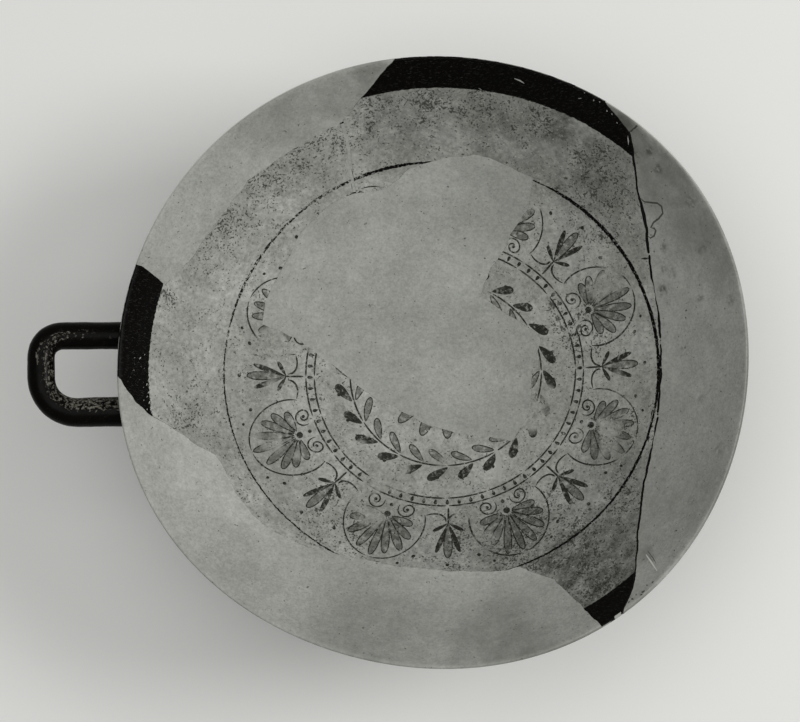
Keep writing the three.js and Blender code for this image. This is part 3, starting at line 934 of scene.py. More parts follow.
slipLook = {
    "pale": "#9c9d97",
    "shade": "#898a83",
    "speck": "#2c2d28",
    "crumb": "#b9bab3",
    "black": "#040302",
    "wash": "#3a3a34",
    "ink": "#12110d",
    "bare": "#9b9c95",
    "wornLip": "#8d8e86",
    "smudgeDepth": 0.58,  # by how much smudges and veins darken the ground
    "veinDepth": 0.22,
    "specksShown": 0.82,  # how far each covers what lies under it
    "crumbsShown": 0.36,
    "inkShown": 0.88,
    "scratchShown": 0.22,
    "ringSwell": 0.62,  # what the ring line gains to each side where it is thick, in millimetres
    # Bearing, share of the rim, radius in millimetres and strength
    "speckled": [
        (151.0, 0.83, 16, 0.55), (141.0, 0.82, 18, 0.65), (130.0, 0.81, 20, 0.75),
        (120.0, 0.82, 20, 0.8), (112.0, 0.835, 18, 0.7), (102.0, 0.86, 20, 0.8),
        (90.0, 0.875, 20, 0.9), (80.0, 0.87, 20, 0.9), (69.0, 0.86, 20, 0.85),
        (188.0, 0.8, 18, 0.8), (164.0, 0.89, 9, 0.8), (301.0, 0.59, 30, 0.85),
        (306.0, 0.74, 30, 0.95), (304.0, 0.87, 26, 1.0), (322.0, 0.74, 22, 0.85),
        (290.0, 0.68, 30, 0.85), (275.0, 0.6, 30, 0.6), (19.0, 0.42, 18, 0.85),
        (14.0, 0.47, 16, 0.85), (50.0, 0.8, 28, 0.75), (236.0, 0.6, 34, 0.5),
        (41.0, 0.7, 24, 0.7), (340.0, 0.66, 16, 0.6),
    ],
    "smudged": [
        (53.0, 0.86, 18, 0.8), (48.5, 0.80, 15, 1.0), (51.0, 0.74, 12, 0.7), (62.0, 0.865, 20, 1.0),
        (72.0, 0.84, 52, 0.64), (95.0, 0.87, 46, 0.68), (50.0, 0.8, 48, 0.62),
        (116.0, 0.83, 30, 0.16), (136.0, 0.82, 26, 0.08), (305.0, 0.84, 64, 1.1),
        (292.0, 0.68, 52, 0.7), (268.0, 0.62, 60, 0.46), (322.0, 0.68, 40, 0.55),
        (310.0, 0.88, 26, 1.0), (198.0, 0.66, 60, 0.26),
        (228.0, 0.66, 50, 0.28), (188.0, 0.81, 16, 0.3),
    ],
    "grainyRing": [(146.0, 0.7, 40, 1.0), (165.0, 0.7, 34, 0.8), (122.0, 0.7, 40, 1.0)],
    "thickRing": [
        (48.0, 0.7, 24, 0.9), (36.0, 0.7, 26, 1.0), (24.0, 0.7, 26, 1.0), (11.0, 0.69, 26, 1.0),
        (357.0, 0.69, 26, 1.0), (340.0, 0.68, 26, 0.5), (146.0, 0.7, 50, 0.5), (118.0, 0.7, 30, 0.6),
        (104.0, 0.7, 26, 0.8), (328.0, 0.7, 30, 0.6), (308.0, 0.7, 40, 0.4),
    ],
    "flecked": [(181.0, 0.945, 16, 0.75), (190.0, 0.9, 12, 1.0), (60.0, 0.95, 20, 0.4)],
}


# Fine white-firing clay slip, brushed on the turning cup and burnished, dull from long burial.
# The eye sees a pale grey ground with a fine grain, dark specks in drifts, brush-painted black
# gloss that has flaked in places, and thin scratches. The real grain is finer than a tenth of a
# millimetre, and it is drawn at about one so that it shows.
def burnishedSlip():
    material, tree, surface = newMaterial("white_ground_slip_burnished")
    look = slipLook
    place = addNode(tree, "TexCoord", {}, {}).outputs["Object"]
    flat = addNode(tree, "Attribute", {"attribute_name": "map"}, {}).outputs["Vector"]
    rings = addNode(tree, "Attribute", {"attribute_name": "rings"}, {}).outputs["Vector"]
    rings = addNode(tree, "SeparateXYZ", {}, {0: rings})
    tone = addNode(tree, "Attribute", {"attribute_name": "tone"}, {}).outputs["Fac"]
    depth = addNode(tree, "SeparateXYZ", {}, {0: flat}).outputs["Z"]

    broad = patches(tree, place, 26, 0.32, 0.68, detail=4.0)
    ground = coats(tree, linear(look["shade"]), look, [(broad, "pale")])
    smudge = zones(tree, place, flat, look["smudged"], 30)
    cloud = addNode(tree, "TexNoise", {}, {
        "Vector": place, "Scale": 1 / (7 * mm), "Detail": 6.0, "Roughness": 0.75,
    })
    cloud = addNode(tree, "MapRange", {}, {
        "Value": cloud, "From Min": 0.33, "From Max": 0.67, "To Min": 0.35, "To Max": 1.3,
    })
    smudge = addNode(tree, "Math", times, {0: smudge, 1: cloud})
    smudge = addNode(tree, "Math", timesPlus, {0: smudge, 1: -look["smudgeDepth"], 2: 1.0})

    # Veins where water crept along the slip: narrow lines on which a noise passes its middle
    vein = addNode(tree, "TexNoise", {}, {
        "Vector": place, "Scale": 1 / (17 * mm), "Detail": 4.0, "Roughness": 0.6,
    })
    vein = addNode(tree, "Math", minus, {0: vein, 1: 0.5})
    vein = addNode(tree, "Math", unsigned, {0: vein})
    vein = addNode(tree, "MapRange", softly, {"Value": vein, "From Min": 0.011, "From Max": 0.003})
    vein = addNode(tree, "Math", times, {0: vein, 1: patches(tree, place, 19, 0.5, 0.6)})
    vein = addNode(tree, "Math", timesPlus, {0: vein, 1: -look["veinDepth"], 2: 1.0})
    shading = mottle(tree, place, [(9, 0.3), (3.6, 0.55), (1.8, 0.6), (0.95, 0.5)])
    for factor in (smudge, vein):
        shading = addNode(tree, "Math", times, {0: shading, 1: factor})
    ground = addNode(tree, "VectorMath", scaled, {0: ground, "Scale": shading})

    # Dark specks of two sizes, few on clean ground and many in the drifts, and pale crumbs
    drift = zones(tree, place, flat, look["speckled"], 30)
    clump = addNode(tree, "TexNoise", {}, {
        "Vector": place, "Scale": 1 / (8 * mm), "Detail": 5.0, "Roughness": 0.7,
    })
    clump = addNode(tree, "Math", timesPlus, {0: clump, 1: -0.6, 2: 0.96})
    level = addNode(tree, "Math", timesPlus, {0: drift, 1: -0.13, 2: clump})
    levelTop = addNode(tree, "Math", plus, {0: level, 1: 0.08})
    fine = patches(tree, place, 1.0, level, levelTop, 1.5, look["specksShown"])
    level = addNode(tree, "Math", plus, {0: level, 1: 0.05})
    levelTop = addNode(tree, "Math", plus, {0: level, 1: 0.05})
    large = patches(tree, place, 1.9, level, levelTop, 3.0, look["specksShown"])
    specks = addNode(tree, "Math", most, {0: fine, 1: large})
    crumbs = patches(tree, place, 1.25, 0.62, 0.72, strength=look["crumbsShown"])

    # Paint: the rim band past its edge, the ring line near its circle, and the ornament
    edge = addNode(tree, "TexNoise", {}, {"Vector": place, "Scale": 1 / (1.4 * mm), "Detail": 3.0})
    flecked = zones(tree, place, flat, look["flecked"], 14)
    ragged = addNode(tree, "Math", timesPlus, {0: flecked, 1: 2.4, 2: 1.1})
    edgeShift = addNode(tree, "Math", minus, {0: edge, 1: 0.5})
    band = addNode(tree, "Math", timesPlus, {0: edgeShift, 1: ragged, 2: rings.outputs["X"]})
    band = addNode(tree, "MapRange", softly, {"Value": band, "From Min": -0.15, "From Max": 0.15})
    fleckLevel = addNode(tree, "MapRange", {}, {"Value": flecked, "To Min": 0.16, "To Max": 0.34})
    fleckTop = addNode(tree, "Math", plus, {0: fleckLevel, 1: 0.04})
    flecks = patches(tree, place, 1.0, fleckLevel, fleckTop, detail=3.0)
    band = addNode(tree, "Math", times, {0: band, 1: flecks})
    thick = zones(tree, place, flat, look["thickRing"], 8)
    ring = addNode(tree, "Math", unsigned, {0: rings.outputs["Y"]})
    ring = addNode(tree, "Math", timesPlus, {0: edge, 1: 1.3, 2: ring})
    ring = addNode(tree, "Math", timesPlus, {0: thick, 1: -look["ringSwell"], 2: ring})
    ring = addNode(tree, "MapRange", softly, {"Value": ring, "From Min": 1.17, "From Max": 0.89})
    grainy = zones(tree, place, flat, look["grainyRing"], 10)
    wearLow = addNode(tree, "Math", timesPlus, {0: grainy, 1: 0.13, 2: 0.27})
    wearHigh = addNode(tree, "Math", plus, {0: wearLow, 1: 0.16})
    ringWear = patches(tree, place, 1.2, wearLow, wearHigh, detail=3.0)
    ring = addNode(tree, "Math", times, {0: ring, 1: ringWear})
    paint = addNode(tree, "Math", most, {0: band, 1: ring})

    inked = addNode(tree, "MapRange", {}, {
        "Value": tone, "From Min": 0.7, "From Max": 0.8, "To Max": look["inkShown"],
    })
    washed = addNode(tree, "MapRange", {}, {"Value": tone, "From Min": 0.2, "From Max": 0.3})
    inkWear = patches(tree, place, 1.6, 0.32, 0.5, detail=5.0)
    inkLost = patches(tree, place, 24, 0.34, 0.44)
    combed = addNode(tree, "Math", most, {
        0: scratches(tree, place, 15, 1.5, 0.55), 1: scratches(tree, place, -52, 1.6, 0.57),
    })
    combed = addNode(tree, "Math", timesPlus, {0: combed, 1: -0.4, 2: 0.82})
    washWear = patches(tree, place, 2.6, 0.28, 0.56, detail=5.0)
    for factor in (inkWear, inkLost):
        inked = addNode(tree, "Math", times, {0: inked, 1: factor})
    for factor in (washWear, combed, inkLost):
        washed = addNode(tree, "Math", times, {0: washed, 1: factor})

    # The lip is rubbed along its outer crest, and chips and scratches show what lies under
    # the paint.
    crest = addNode(tree, "MapRange", {}, {"Value": depth, "From Min": 0.6, "From Max": 0.9})
    rub = patches(tree, place, 4.0, 0.44, 0.52, detail=5.0)
    rub = addNode(tree, "Math", times, {0: rub, 1: crest})
    bare = addNode(tree, "MapRange", {}, {"Value": tone, "From Min": -0.7, "From Max": -0.9})
    for turn, size, low in ((38, 2.4, 0.69), (-24, 3.1, 0.71)):
        scratch = scratches(tree, place, turn, size, low, look["scratchShown"])
        bare = addNode(tree, "Math", most, {0: bare, 1: scratch})
    colour = coats(tree, ground, look, [
        (specks, "speck"), (crumbs, "crumb"), (washed, "wash"), (inked, "ink"), (paint, "black"),
        (rub, "wornLip"), (bare, "bare"),
    ])

    roughness = addNode(tree, "MapRange", {}, {"Value": paint, "To Min": 0.62, "To Max": 0.42})
    roughness = addNode(tree, "Math", most, {0: roughness, 1: rub})
    relief = mottle(tree, place, [(1.1, 0.5), (4.0, 0.8)])
    relief = addNode(tree, "Math", timesPlus, {0: paint, 1: 0.35, 2: relief})
    for hollow in (bare, specks):
        relief = addNode(tree, "Math", minus, {0: relief, 1: hollow})
    bump = addNode(tree, "Bump", {}, {"Height": relief, "Strength": 0.6, "Distance": 0.07 * mm})
    feed(tree, surface, {"Base Color": colour, "Roughness": roughness, "Normal": bump})
    feed(tree, surface, {"IOR": 1.5, "Specular IOR Level": 0.06})
    return material


plasterLook = {
    "pale": "#9c9d97",
    "shade": "#8f908a",
    "pinhole": "#3d3d38",
    # dark grey for the patches near the rim, the scraper lines and the painted shade on the lip
    "dust": "#5f6059",
    "soot": "#484942",
    # pale of bare scratches and chips, and of the painted highlight on the lip's crest
    "bareAndHighlight": "#c6c7c0",
    "line": "#2e2e29",
    "litWallBy": 0.18,  # how much paler the painted light makes the lit wall
    # Bearing, share of the rim, radius in millimetres and strength
    # Patches darker near the rim
    "dusty": [
        (46.0, 0.955, 24, 1.0), (38.0, 0.94, 32, 0.9), (28.0, 0.95, 36, 0.7), (18.0, 0.97, 28, 0.5),
        (100.0, 0.96, 18, 0.8), (108.0, 0.94, 24, 0.6), (118.0, 0.94, 30, 0.5),
        (258.0, 0.93, 50, 0.5), (282.0, 0.93, 48, 0.7), (296.0, 0.93, 22, 0.4),
        (314.6, 0.89, 10, 0.8), (325.0, 0.88, 50, 0.35),
    ],
    "sooty": [(51.0, 0.98, 11, 0.75), (54.0, 0.99, 8, 0.6)],
    "stained": [
        (26.2, 0.81, 3.5, 0.6), (20.9, 0.8, 3.0, 0.4), (17.4, 0.757, 4.5, 0.8),
        (22.3, 0.78, 3.0, 0.6), (12.3, 0.86, 3.5, 0.5), (31.4, 0.957, 5.0, 0.5),
        (39.7, 0.942, 4.5, 0.7),
        (43.7, 0.962, 5.0, 0.8), (22.0, 0.911, 4.0, 0.5), (10.1, 0.954, 5.0, 0.4),
        (340.1, 0.947, 5.0, 0.35), (328.8, 0.918, 4.5, 0.35), (314.5, 0.926, 4.0, 0.5),
        (350.0, 0.843, 4.0, 0.3), (2.1, 0.77, 3.0, 0.4), (45.5, 0.925, 4.0, 0.7),
    ],
    # Zone of painted light on the inner wall
    "litWall": [(204.0, 0.9, 70, 1.0)],
    # Zones where the lip gets a painted highlight on its crest, and where it gets painted shade on
    # its inner half
    "paleLip": [(128.0, 0.99, 110, 1.0), (48.0, 0.99, 70, 0.8)],
    "dullLip": [(345.0, 0.99, 110, 1.0), (300.0, 0.99, 60, 0.8)],
}


# Plaster of Paris, poured, scraped to the wall's curve and toned with a thin wash.
# The eye sees a smooth dull pale grey with slow clouds, a few pinholes and faint scraper lines,
# patches darker near the rim, soot that has settled on it and small stains. Painted light makes
# one inner wall paler, and the lip has a painted highlight on its crest in some places and
# painted shade on its inner half in others.
def scrapedPlaster():
    material, tree, surface = newMaterial("plaster_of_paris_scraped")
    look = plasterLook
    place = addNode(tree, "TexCoord", {}, {}).outputs["Object"]
    flat = addNode(tree, "Attribute", {"attribute_name": "map"}, {}).outputs["Vector"]
    tone = addNode(tree, "Attribute", {"attribute_name": "tone"}, {}).outputs["Fac"]
    depth = addNode(tree, "SeparateXYZ", {}, {0: flat}).outputs["Z"]

    broad = patches(tree, place, 42, 0.34, 0.66, detail=3.0)
    ground = coats(tree, linear(look["shade"]), look, [(broad, "pale")])
    shading = mottle(tree, place, [(12, 0.18), (4.0, 0.3), (1.8, 0.42), (0.95, 0.5)])
    # Painted light: a broad zone of the inner wall round bearing 204 degrees is made paler, as if
    # more light fell there
    litWall = zones(tree, place, flat, look["litWall"], 30)
    litWall = addNode(tree, "Math", timesPlus, {0: litWall, 1: look["litWallBy"], 2: 1.0})
    shading = addNode(tree, "Math", times, {0: shading, 1: litWall})
    ground = addNode(tree, "VectorMath", scaled, {0: ground, "Scale": shading})

    # Patches darker near the rim, clouded by noise
    cloud = patches(tree, place, 9, 0.25, 0.75, 4.0, strength=0.4)
    cloud = addNode(tree, "Math", plus, {0: cloud, 1: 0.36})
    dust = zones(tree, place, flat, look["dusty"], 20)
    dust = addNode(tree, "Math", times, {0: dust, 1: cloud})
    soot = zones(tree, place, flat, look["sooty"], 6)
    stains = zones(tree, place, flat, look["stained"], 9)
    stains = addNode(tree, "Math", times, {0: stains, 1: patches(tree, place, 2.2, 0.35, 0.6)})
    holes = patches(tree, place, 1.6, 0.69, 0.735, strength=0.8)
    scraped = scratches(tree, place, 62, 5.0, 0.66, strength=0.12)
    drawn = addNode(tree, "MapRange", {}, {
        "Value": tone, "From Min": 0.7, "From Max": 0.8, "To Max": 0.85,
    })
    bare = addNode(tree, "MapRange", {}, {"Value": tone, "From Min": -0.7, "From Max": -0.9})

    # Painted shade darkens the lip from its inner edge on in some places, and a painted highlight
    # lightens it past its crest in others
    crest = addNode(tree, "MapRange", {}, {
        "Value": depth, "From Min": 0.02, "From Max": 0.3, "To Max": 0.7,
    })
    dullLip = zones(tree, place, flat, look["dullLip"], 30)
    dullLip = addNode(tree, "Math", times, {0: dullLip, 1: crest})
    crest = addNode(tree, "MapRange", {}, {"Value": depth, "From Min": 0.4, "From Max": 0.6})
    paleLip = zones(tree, place, flat, look["paleLip"], 30)
    paleLip = addNode(tree, "Math", times, {0: paleLip, 1: crest})
    # The painted highlight on the lip joins the bare marks and takes their pale colour
    bare = addNode(tree, "Math", most, {0: bare, 1: paleLip})
    colour = coats(tree, ground, look, [
        (dust, "dust"), (soot, "soot"), (stains, "soot"), (holes, "pinhole"), (scraped, "dust"),
        (drawn, "line"), (dullLip, "dust"), (bare, "bareAndHighlight"),
    ])

    relief = mottle(tree, place, [(1.2, 0.5), (6.0, 1.0)])
    relief = addNode(tree, "Math", minus, {0: relief, 1: holes})
    bump = addNode(tree, "Bump", {}, {"Height": relief, "Strength": 0.5, "Distance": 0.06 * mm})
    feed(tree, surface, {"Base Color": colour, "Normal": bump})
    feed(tree, surface, {"Roughness": 0.85, "IOR": 1.52, "Specular IOR Level": 0.2})
    return material


glossLook = {
    "black": "#050403",
    "thin": "#100e0a",
    "worn": "#6f6d64",
    "clay": "#45433b",
}


# Black gloss: fine iron-rich clay slip, burnished and fired without air, so that it sinters to a
# thin skin. The eye sees a deep brown-black with a soft shine, thinner and browner in brush
# streaks, rubbed through to the clay where hands and shelves touched it. Wear grows with the
# wear attribute, from the given level of the noise on, and runs along the skin attribute.
# On the handle the wear attribute also carries a streak of painted highlight, which shows in the worn
# colour.
def sinteredGloss(name, wearFrom, wearLevel, skinFrom=None):
    material, tree, surface = newMaterial(name)
    look = glossLook
    place = addNode(tree, "TexCoord", {}, {}).outputs["Object"]
    grainPlace = place
    if skinFrom:
        skin = addNode(tree, "Attribute", {"attribute_name": skinFrom}, {}).outputs["Vector"]
        grainPlace = addNode(tree, "VectorMath", times, {0: skin, 1: (0.55, 1, 1)})
    worn = addNode(tree, "Attribute", {"attribute_name": wearFrom}, {}).outputs["Fac"]
    level = addNode(tree, "MapRange", {}, {"Value": worn, "To Min": wearLevel, "To Max": 0.46})
    levelTop = addNode(tree, "Math", plus, {0: level, 1: 0.07})
    coarse = addNode(tree, "TexNoise", {}, {
        "Vector": grainPlace, "Scale": 1 / (1.2 * mm), "Detail": 5.0, "Roughness": 0.75,
    })
    rubbed = addNode(tree, "MapRange", softly, {
        "Value": coarse, "From Min": level, "From Max": levelTop,
    })
    scratch = scratches(tree, place, 71, 2.0, 0.72, strength=0.35)
    shown = addNode(tree, "Math", most, {0: rubbed, 1: scratch})

    streak = addNode(tree, "Mapping", {}, {"Vector": place, "Scale": (1, 1, 7)})
    thin = patches(tree, streak, 9, 0.55, 0.75, 3.0, strength=0.7)
    black = coats(tree, linear(look["black"]), look, [(thin, "thin")])
    grain = patches(tree, place, 0.9, 0.35, 0.65)
    under = coats(tree, linear(look["clay"]), look, [(grain, "worn")])
    colour = addNode(tree, "MixRGB", {}, {"Fac": shown, "Color1": black, "Color2": under})

    smooth = patches(tree, place, 6, 0.3, 0.7)
    roughness = addNode(tree, "MapRange", {}, {"Value": smooth, "To Min": 0.24, "To Max": 0.36})
    roughness = addNode(tree, "Math", timesPlus, {0: shown, 1: 0.4, 2: roughness})
    relief = mottle(tree, place, [(0.8, 0.15), (5.0, 0.6)])
    relief = addNode(tree, "Math", minus, {0: relief, 1: shown})
    bump = addNode(tree, "Bump", {}, {"Height": relief, "Strength": 0.6, "Distance": 0.08 * mm})
    feed(tree, surface, {"Base Color": colour, "Roughness": roughness, "Normal": bump})
    feed(tree, surface, {"IOR": 1.5, "Specular IOR Level": 0.05})
    return material


clayLook = {
    "broken": "#7b766a",
    "brokenShade": "#5f5b51",
    "unpainted": "#7b766b",
    "unpaintedShade": "#67625a",
    "dirt": "#14130f",
    "dirtShade": "#0b0a08",
}


# Fired potter's clay, bare where the pot broke or was left unpainted, and old dirt in a crack.
# The eye sees a dull grey-brown with a sandy grain.
def bareClay(name, colour):
    material, tree, surface = newMaterial(name)
    place = addNode(tree, "TexCoord", {}, {}).outputs["Object"]
    broad = patches(tree, place, 6, 0.3, 0.7, detail=4.0)
    ground = coats(tree, linear(clayLook[colour + "Shade"]), clayLook, [(broad, colour)])
    shading = mottle(tree, place, [(1.5, 0.3), (0.6, 0.3)])
    ground = addNode(tree, "VectorMath", scaled, {0: ground, "Scale": shading})
    relief = mottle(tree, place, [(0.7, 1.0)])
    bump = addNode(tree, "Bump", {}, {"Height": relief, "Strength": 0.6, "Distance": 0.1 * mm})
    feed(tree, surface, {"Base Color": ground, "Normal": bump})
    feed(tree, surface, {"Roughness": 0.8, "Specular IOR Level": 0.25})
    return material


slip = burnishedSlip()
plaster = scrapedPlaster()
outsideGloss = sinteredGloss("black_gloss_outside", "tone", 0.7)
handleGloss = sinteredGloss("black_gloss_handle", "wear", 0.74, "skin")
footGloss = sinteredGloss("black_gloss_foot", "wear", 0.74)
clay = bareClay("fired_clay_broken", "broken")
dirt = bareClay("old_dirt_in_the_crack", "dirt")
footClay = bareClay("fired_clay_unpainted", "unpainted")
print("materials made")

# Bowl
outlines = {}
for node in bowl["pieces"]:
    outlines[node] = wandered(*fineOutline(outlineOf(node)))
closed = closeJoints(outlines)
print("outlines read from the frame:", len(outlines))

ornamentFigures = drawOrnament()
sherdMarks, fillMarks = drawDamage()
for node, kind in bowl["pieces"].items():
    loop, gap = closed[node]
    if kind == "sherd":
        figures = ornamentFigures + sherdMarks
        materials = [slip, outsideGloss, clay, dirt]
    else:
        figures = fillMarks.get(node, [])
        materials = [plaster, plaster, plaster, dirt]
    figures = [figure for figure in figures if insideLoop(figure[0], loop).any()]
    piece = bowlPiece(node, loop, gap, kind, figures, materials)
    print(piece.name, len(piece.data.polygons), "faces")

# Handle: a rolled strap of clay bent in a loop, luted to the bowl's outside below the lip
handle = {
    "reach": 42.8,  # beyond the rim, in plan
    "width": 50.0,  # outside to outside of the two limbs
    "strapWidth": 13.0,
    "strapThickness": 11.5,
    "slope": 15.0,  # degrees
    "drop": 6.0,  # middle of the strap's far end below the lip
    "backCorner": 10.0,  # bend radii of the middle line
    "frontCorner": 17.0,
    "rootRun": 75.0,  # how far in from the far end the middle line starts
    "lineSteps": 1200,
    "softening": 30,  # of the middle line's bends, in its steps to each side
    "flatBelow": 0.97,
    "rows": 300,
    "around": 56,
    "luting": 2.4,  # how far the clay is spread at the roots
    "lutingRun": 4.5,
    "frontExtra": 1.2,  # what the front limb is thicker by, on its inner side
    "frontFrom": (0.58, 0.14),  # share of the length where that begins, and over which it grows
    "standOff": 0.05,  # between the roots and the bowl
    "endCap": 0.15,  # how far the middles of the end faces stand out
    "uneven": [(15, 0.013), (5, 0.006)],  # wavelength in millimetres and share of the thickness
    # Share of the length, and bearing round the strap and half width of the worn track in degrees
    "wornTrack": [(0.16, 95, 27), (0.37, 88, 32), (0.46, 58, 40), (0.52, 52, 46), (0.84, 52, 56)],
    # Share of the length and depth of the wear
    "wornDepth": [
        (0.16, 0.2), (0.22, 0.36), (0.3, 0.6), (0.37, 0.8), (0.46, 0.8), (0.6, 0.85), (0.7, 0.95),
        (0.8, 0.85), (0.84, 0.6),
    ],
    # A streak of painted highlight on the far end, drawn in as wear
    "highlightStreak": (0.45, 0.04, 108, 11, 1.3),  # share and its reach, bearing and its reach, depth
}


# Middle line of the strap, from the root on the +Y side round to the other, in millimetres: two
# straight limbs and a straight end, joined by quarter circles, in a plane that climbs outwards.
def strapLine(share):
    limb = (handle["width"] - handle["strapWidth"]) / 2
    back, front = handle["backCorner"], handle["frontCorner"]
    turn = np.linspace(0, math.pi / 2, 40)
    root, steps, soft = handle["rootRun"], handle["lineSteps"], handle["softening"]
    path = np.concatenate([
        [[root, limb]],
        np.stack([back - back * np.sin(turn), limb - back + back * np.cos(turn)], 1),
        np.stack([front - front * np.cos(turn), front - limb - front * np.sin(turn)], 1),
        [[root, -limb]],
    ])
    run = np.concatenate([[0], np.cumsum(np.hypot(*np.diff(path, axis=0).T))])
    even = np.linspace(0, run[-1], steps + 1)
    path = np.stack([np.interp(even, run, path[:, 0]), np.interp(even, run, path[:, 1])], 1)
    weights = np.exp(-np.linspace(-2, 2, 2 * soft + 1) ** 2)
    padded = np.pad(path, ((soft, soft), (0, 0)), mode="reflect", reflect_type="odd")
    path = np.stack([np.convolve(p, weights / weights.sum(), "valid") for p in padded.T], 1)
    along = np.gradient(path, axis=0)
    along /= np.hypot(*along.T)[:, None]
    numbers = np.arange(steps + 1)
    place = [np.interp(share * steps, numbers, values) for values in (*path.T, *along.T)]
    return place, run[-1]


# A point of the strap: the middle line at a share of its length, plus an ellipse in the plane
# across it. The ellipse is a little flatter below and swells where the clay is luted on.
def strapPoint(share, around, swell):
    (x, y, alongX, alongY), length = strapLine(share)
    slope = math.radians(handle["slope"])
    end = cup["rimRadius"] + handle["reach"] - handle["strapWidth"] / 2 * math.cos(slope)
    low = np.where(np.sin(around) < 0, handle["flatBelow"], 1.0)
    frontStart, frontRun = handle["frontFrom"]
    extra = handle["frontExtra"] * np.clip((share - frontStart) / frontRun, 0, 1)
    side = handle["strapWidth"] / 2 * np.cos(around) * swell + extra * (1 + np.cos(around)) / 2
    up = handle["strapThickness"] / 2 * np.sin(around) * low * swell
    planeX, planeY = x - alongY * side, y + alongX * side
    return np.stack([
        planeX * math.cos(slope) - end + up * math.sin(slope) + axisX,
        planeY + axisY,
        lipHeight - handle["drop"] - planeX * math.sin(slope) + up * math.cos(slope),
    ], -1)


# How far points stand clear of the bowl's outer face, in millimetres.
def clearOfBowl(points):
    flat, depth = flatten(points)
    return depth - wallAt(np.hypot(flat[..., 0], flat[..., 1]))


# The share of the strap's length at which each line along it meets the bowl, by halving.
def rootShare(around, insideEnd, outsideEnd, swell):
    inside = np.full(len(around), insideEnd)
    outside = np.full(len(around), outsideEnd)
    for _ in range(30):
        middle = (inside + outside) / 2
        clear = clearOfBowl(strapPoint(middle, around, swell)) > handle["standOff"]
        outside = np.where(clear, middle, outside)
        inside = np.where(clear, inside, middle)
    return outside


# Each line along the strap runs from the bowl to the bowl. Towards its ends the strap swells as
# luted clay does: by the luting over half the strap's width, dying away with the run.
def makeHandle():
    around = np.linspace(0, 2 * math.pi, handle["around"], endpoint=False)
    length = strapLine(0)[1]
    wide = 1 + 2 * handle["luting"] / handle["strapWidth"]
    first = rootShare(around, 0.0, 0.35, wide)
    last = rootShare(around, 1.0, 0.65, wide)
    rows = np.linspace(0, 1, handle["rows"])[:, None]
    share = first + (last - first) * rows
    fromRoot = np.maximum(0, np.minimum(share - first, last - share)) * length
    root = np.exp(-(fromRoot / handle["lutingRun"]) ** 1.3)
    angle = around + 0 * share
    skin = np.stack([share * length, 6 * np.sin(angle), 6 * np.cos(angle)], -1)
    (broad, broadBy), (fine, fineBy) = handle["uneven"]
    uneven = broadBy * ripple(skin[..., :2], broad, 61) + fineBy * ripple(skin[..., ::2], fine, 62)
    swell = 1 + (wide - 1) * root + uneven * (1 - root)
    points = strapPoint(share, angle, swell)
    number = np.arange(points[..., 0].size).reshape(share.shape)
    a, b = number[:-1], number[1:]
    c, d = np.roll(b, -1, 1), np.roll(a, -1, 1)
    faces = np.stack([np.stack([a, d, c], -1), np.stack([a, c, b], -1)], 2).reshape(-1, 3)

    # The ends are closed by fans, a hair outside the bowl. The middle of a fan lies a little
    # further from the cup's axis than the ring round it.
    middles = points[[0, -1]].mean(1)
    away = middles - [axisX, axisY, 0]
    middles += handle["endCap"] * away / np.linalg.norm(away, axis=1)[:, None]
    tips = number.size + np.arange(2)[:, None] + np.zeros(len(around), int)
    ring, nextRing = number[[0, -1]], np.roll(number[[0, -1]], -1, 1)
    faces = np.concatenate([
        faces,
        np.stack([tips[0], nextRing[0], ring[0]], 1),
        np.stack([tips[1], ring[1], nextRing[1]], 1),
    ])
    points = np.concatenate([points.reshape(-1, 3), middles])

    # Wear lies along the top of the limb at the back, goes over to the inner side at the far end
    # and covers the inner half of the limb towards the front. A streak of painted highlight on the
    # far end is drawn into it, and shows in the worn colour.
    shares, centres, halves = zip(*handle["wornTrack"])
    off = (np.degrees(angle) - np.interp(share, shares, centres) + 180) % 360 - 180
    wear = np.clip(1.3 - (off / np.interp(share, shares, halves)) ** 2, 0, 1)
    wear *= np.interp(share, *zip(*handle["wornDepth"]))
    at, reach, bearing, spread, depth = handle["highlightStreak"]
    streak = np.exp(-((share - at) / reach) ** 2 - ((np.degrees(angle) - bearing) / spread) ** 2)
    wear = np.append(np.maximum(wear, depth * streak).ravel(), [0, 0])
    skin = np.concatenate([skin.reshape(-1, 3) * mm, np.zeros((2, 3))])
    attributes = [("wear", "POINT", "FLOAT", wear), ("skin", "POINT", "FLOAT_VECTOR", skin)]
    zone = np.zeros(len(faces))
    piece = makePiece("handleLoop", points, faces, [handleGloss], zone, attributes, 60)
    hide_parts("handle")
    return piece


print(makeHandle().name, "made")

# Stem and foot: thrown as one, turned hollow below and luted under the bowl
foot = {
    "radius": 57.0,
    "edge": 9.0,  # height of the foot's outer edge
    "top": 11.0,
    "step": 7.0,  # breadth of the bevel at the foot's edge
    "slope": 2.0,
    "edgeRound": 1.5,
    "standingRing": 7.0,
    "stemHeight": 31.0,
    "stemRadius": 12.0,
    "stemFlare": 24.0,
    "hollowDepth": 23.0,
    "hollowRadius": 9.0,
    "hollowRise": 4.0,
    "groove": (49.0, 0.55, 0.8),  # radius, depth and half width of the scraped line
    "turningRing": 5.5,
    "turningRingHeight": 0.12,
    "turnedRun": 62.0,  # how much of the profile's end has turning rings, and is bare clay
    "bareRun": 75.0,
    "bareEdge": (1.2, 3.0),  # how far the bare clay goes below the edge's top, and in from it
    "wornEdge": (4.0, 0.6),  # reach and depth of the wear
    "spacing": 0.9,
    "closest": 0.12,
    "around": 168,
    "standOff": 0.05,
}


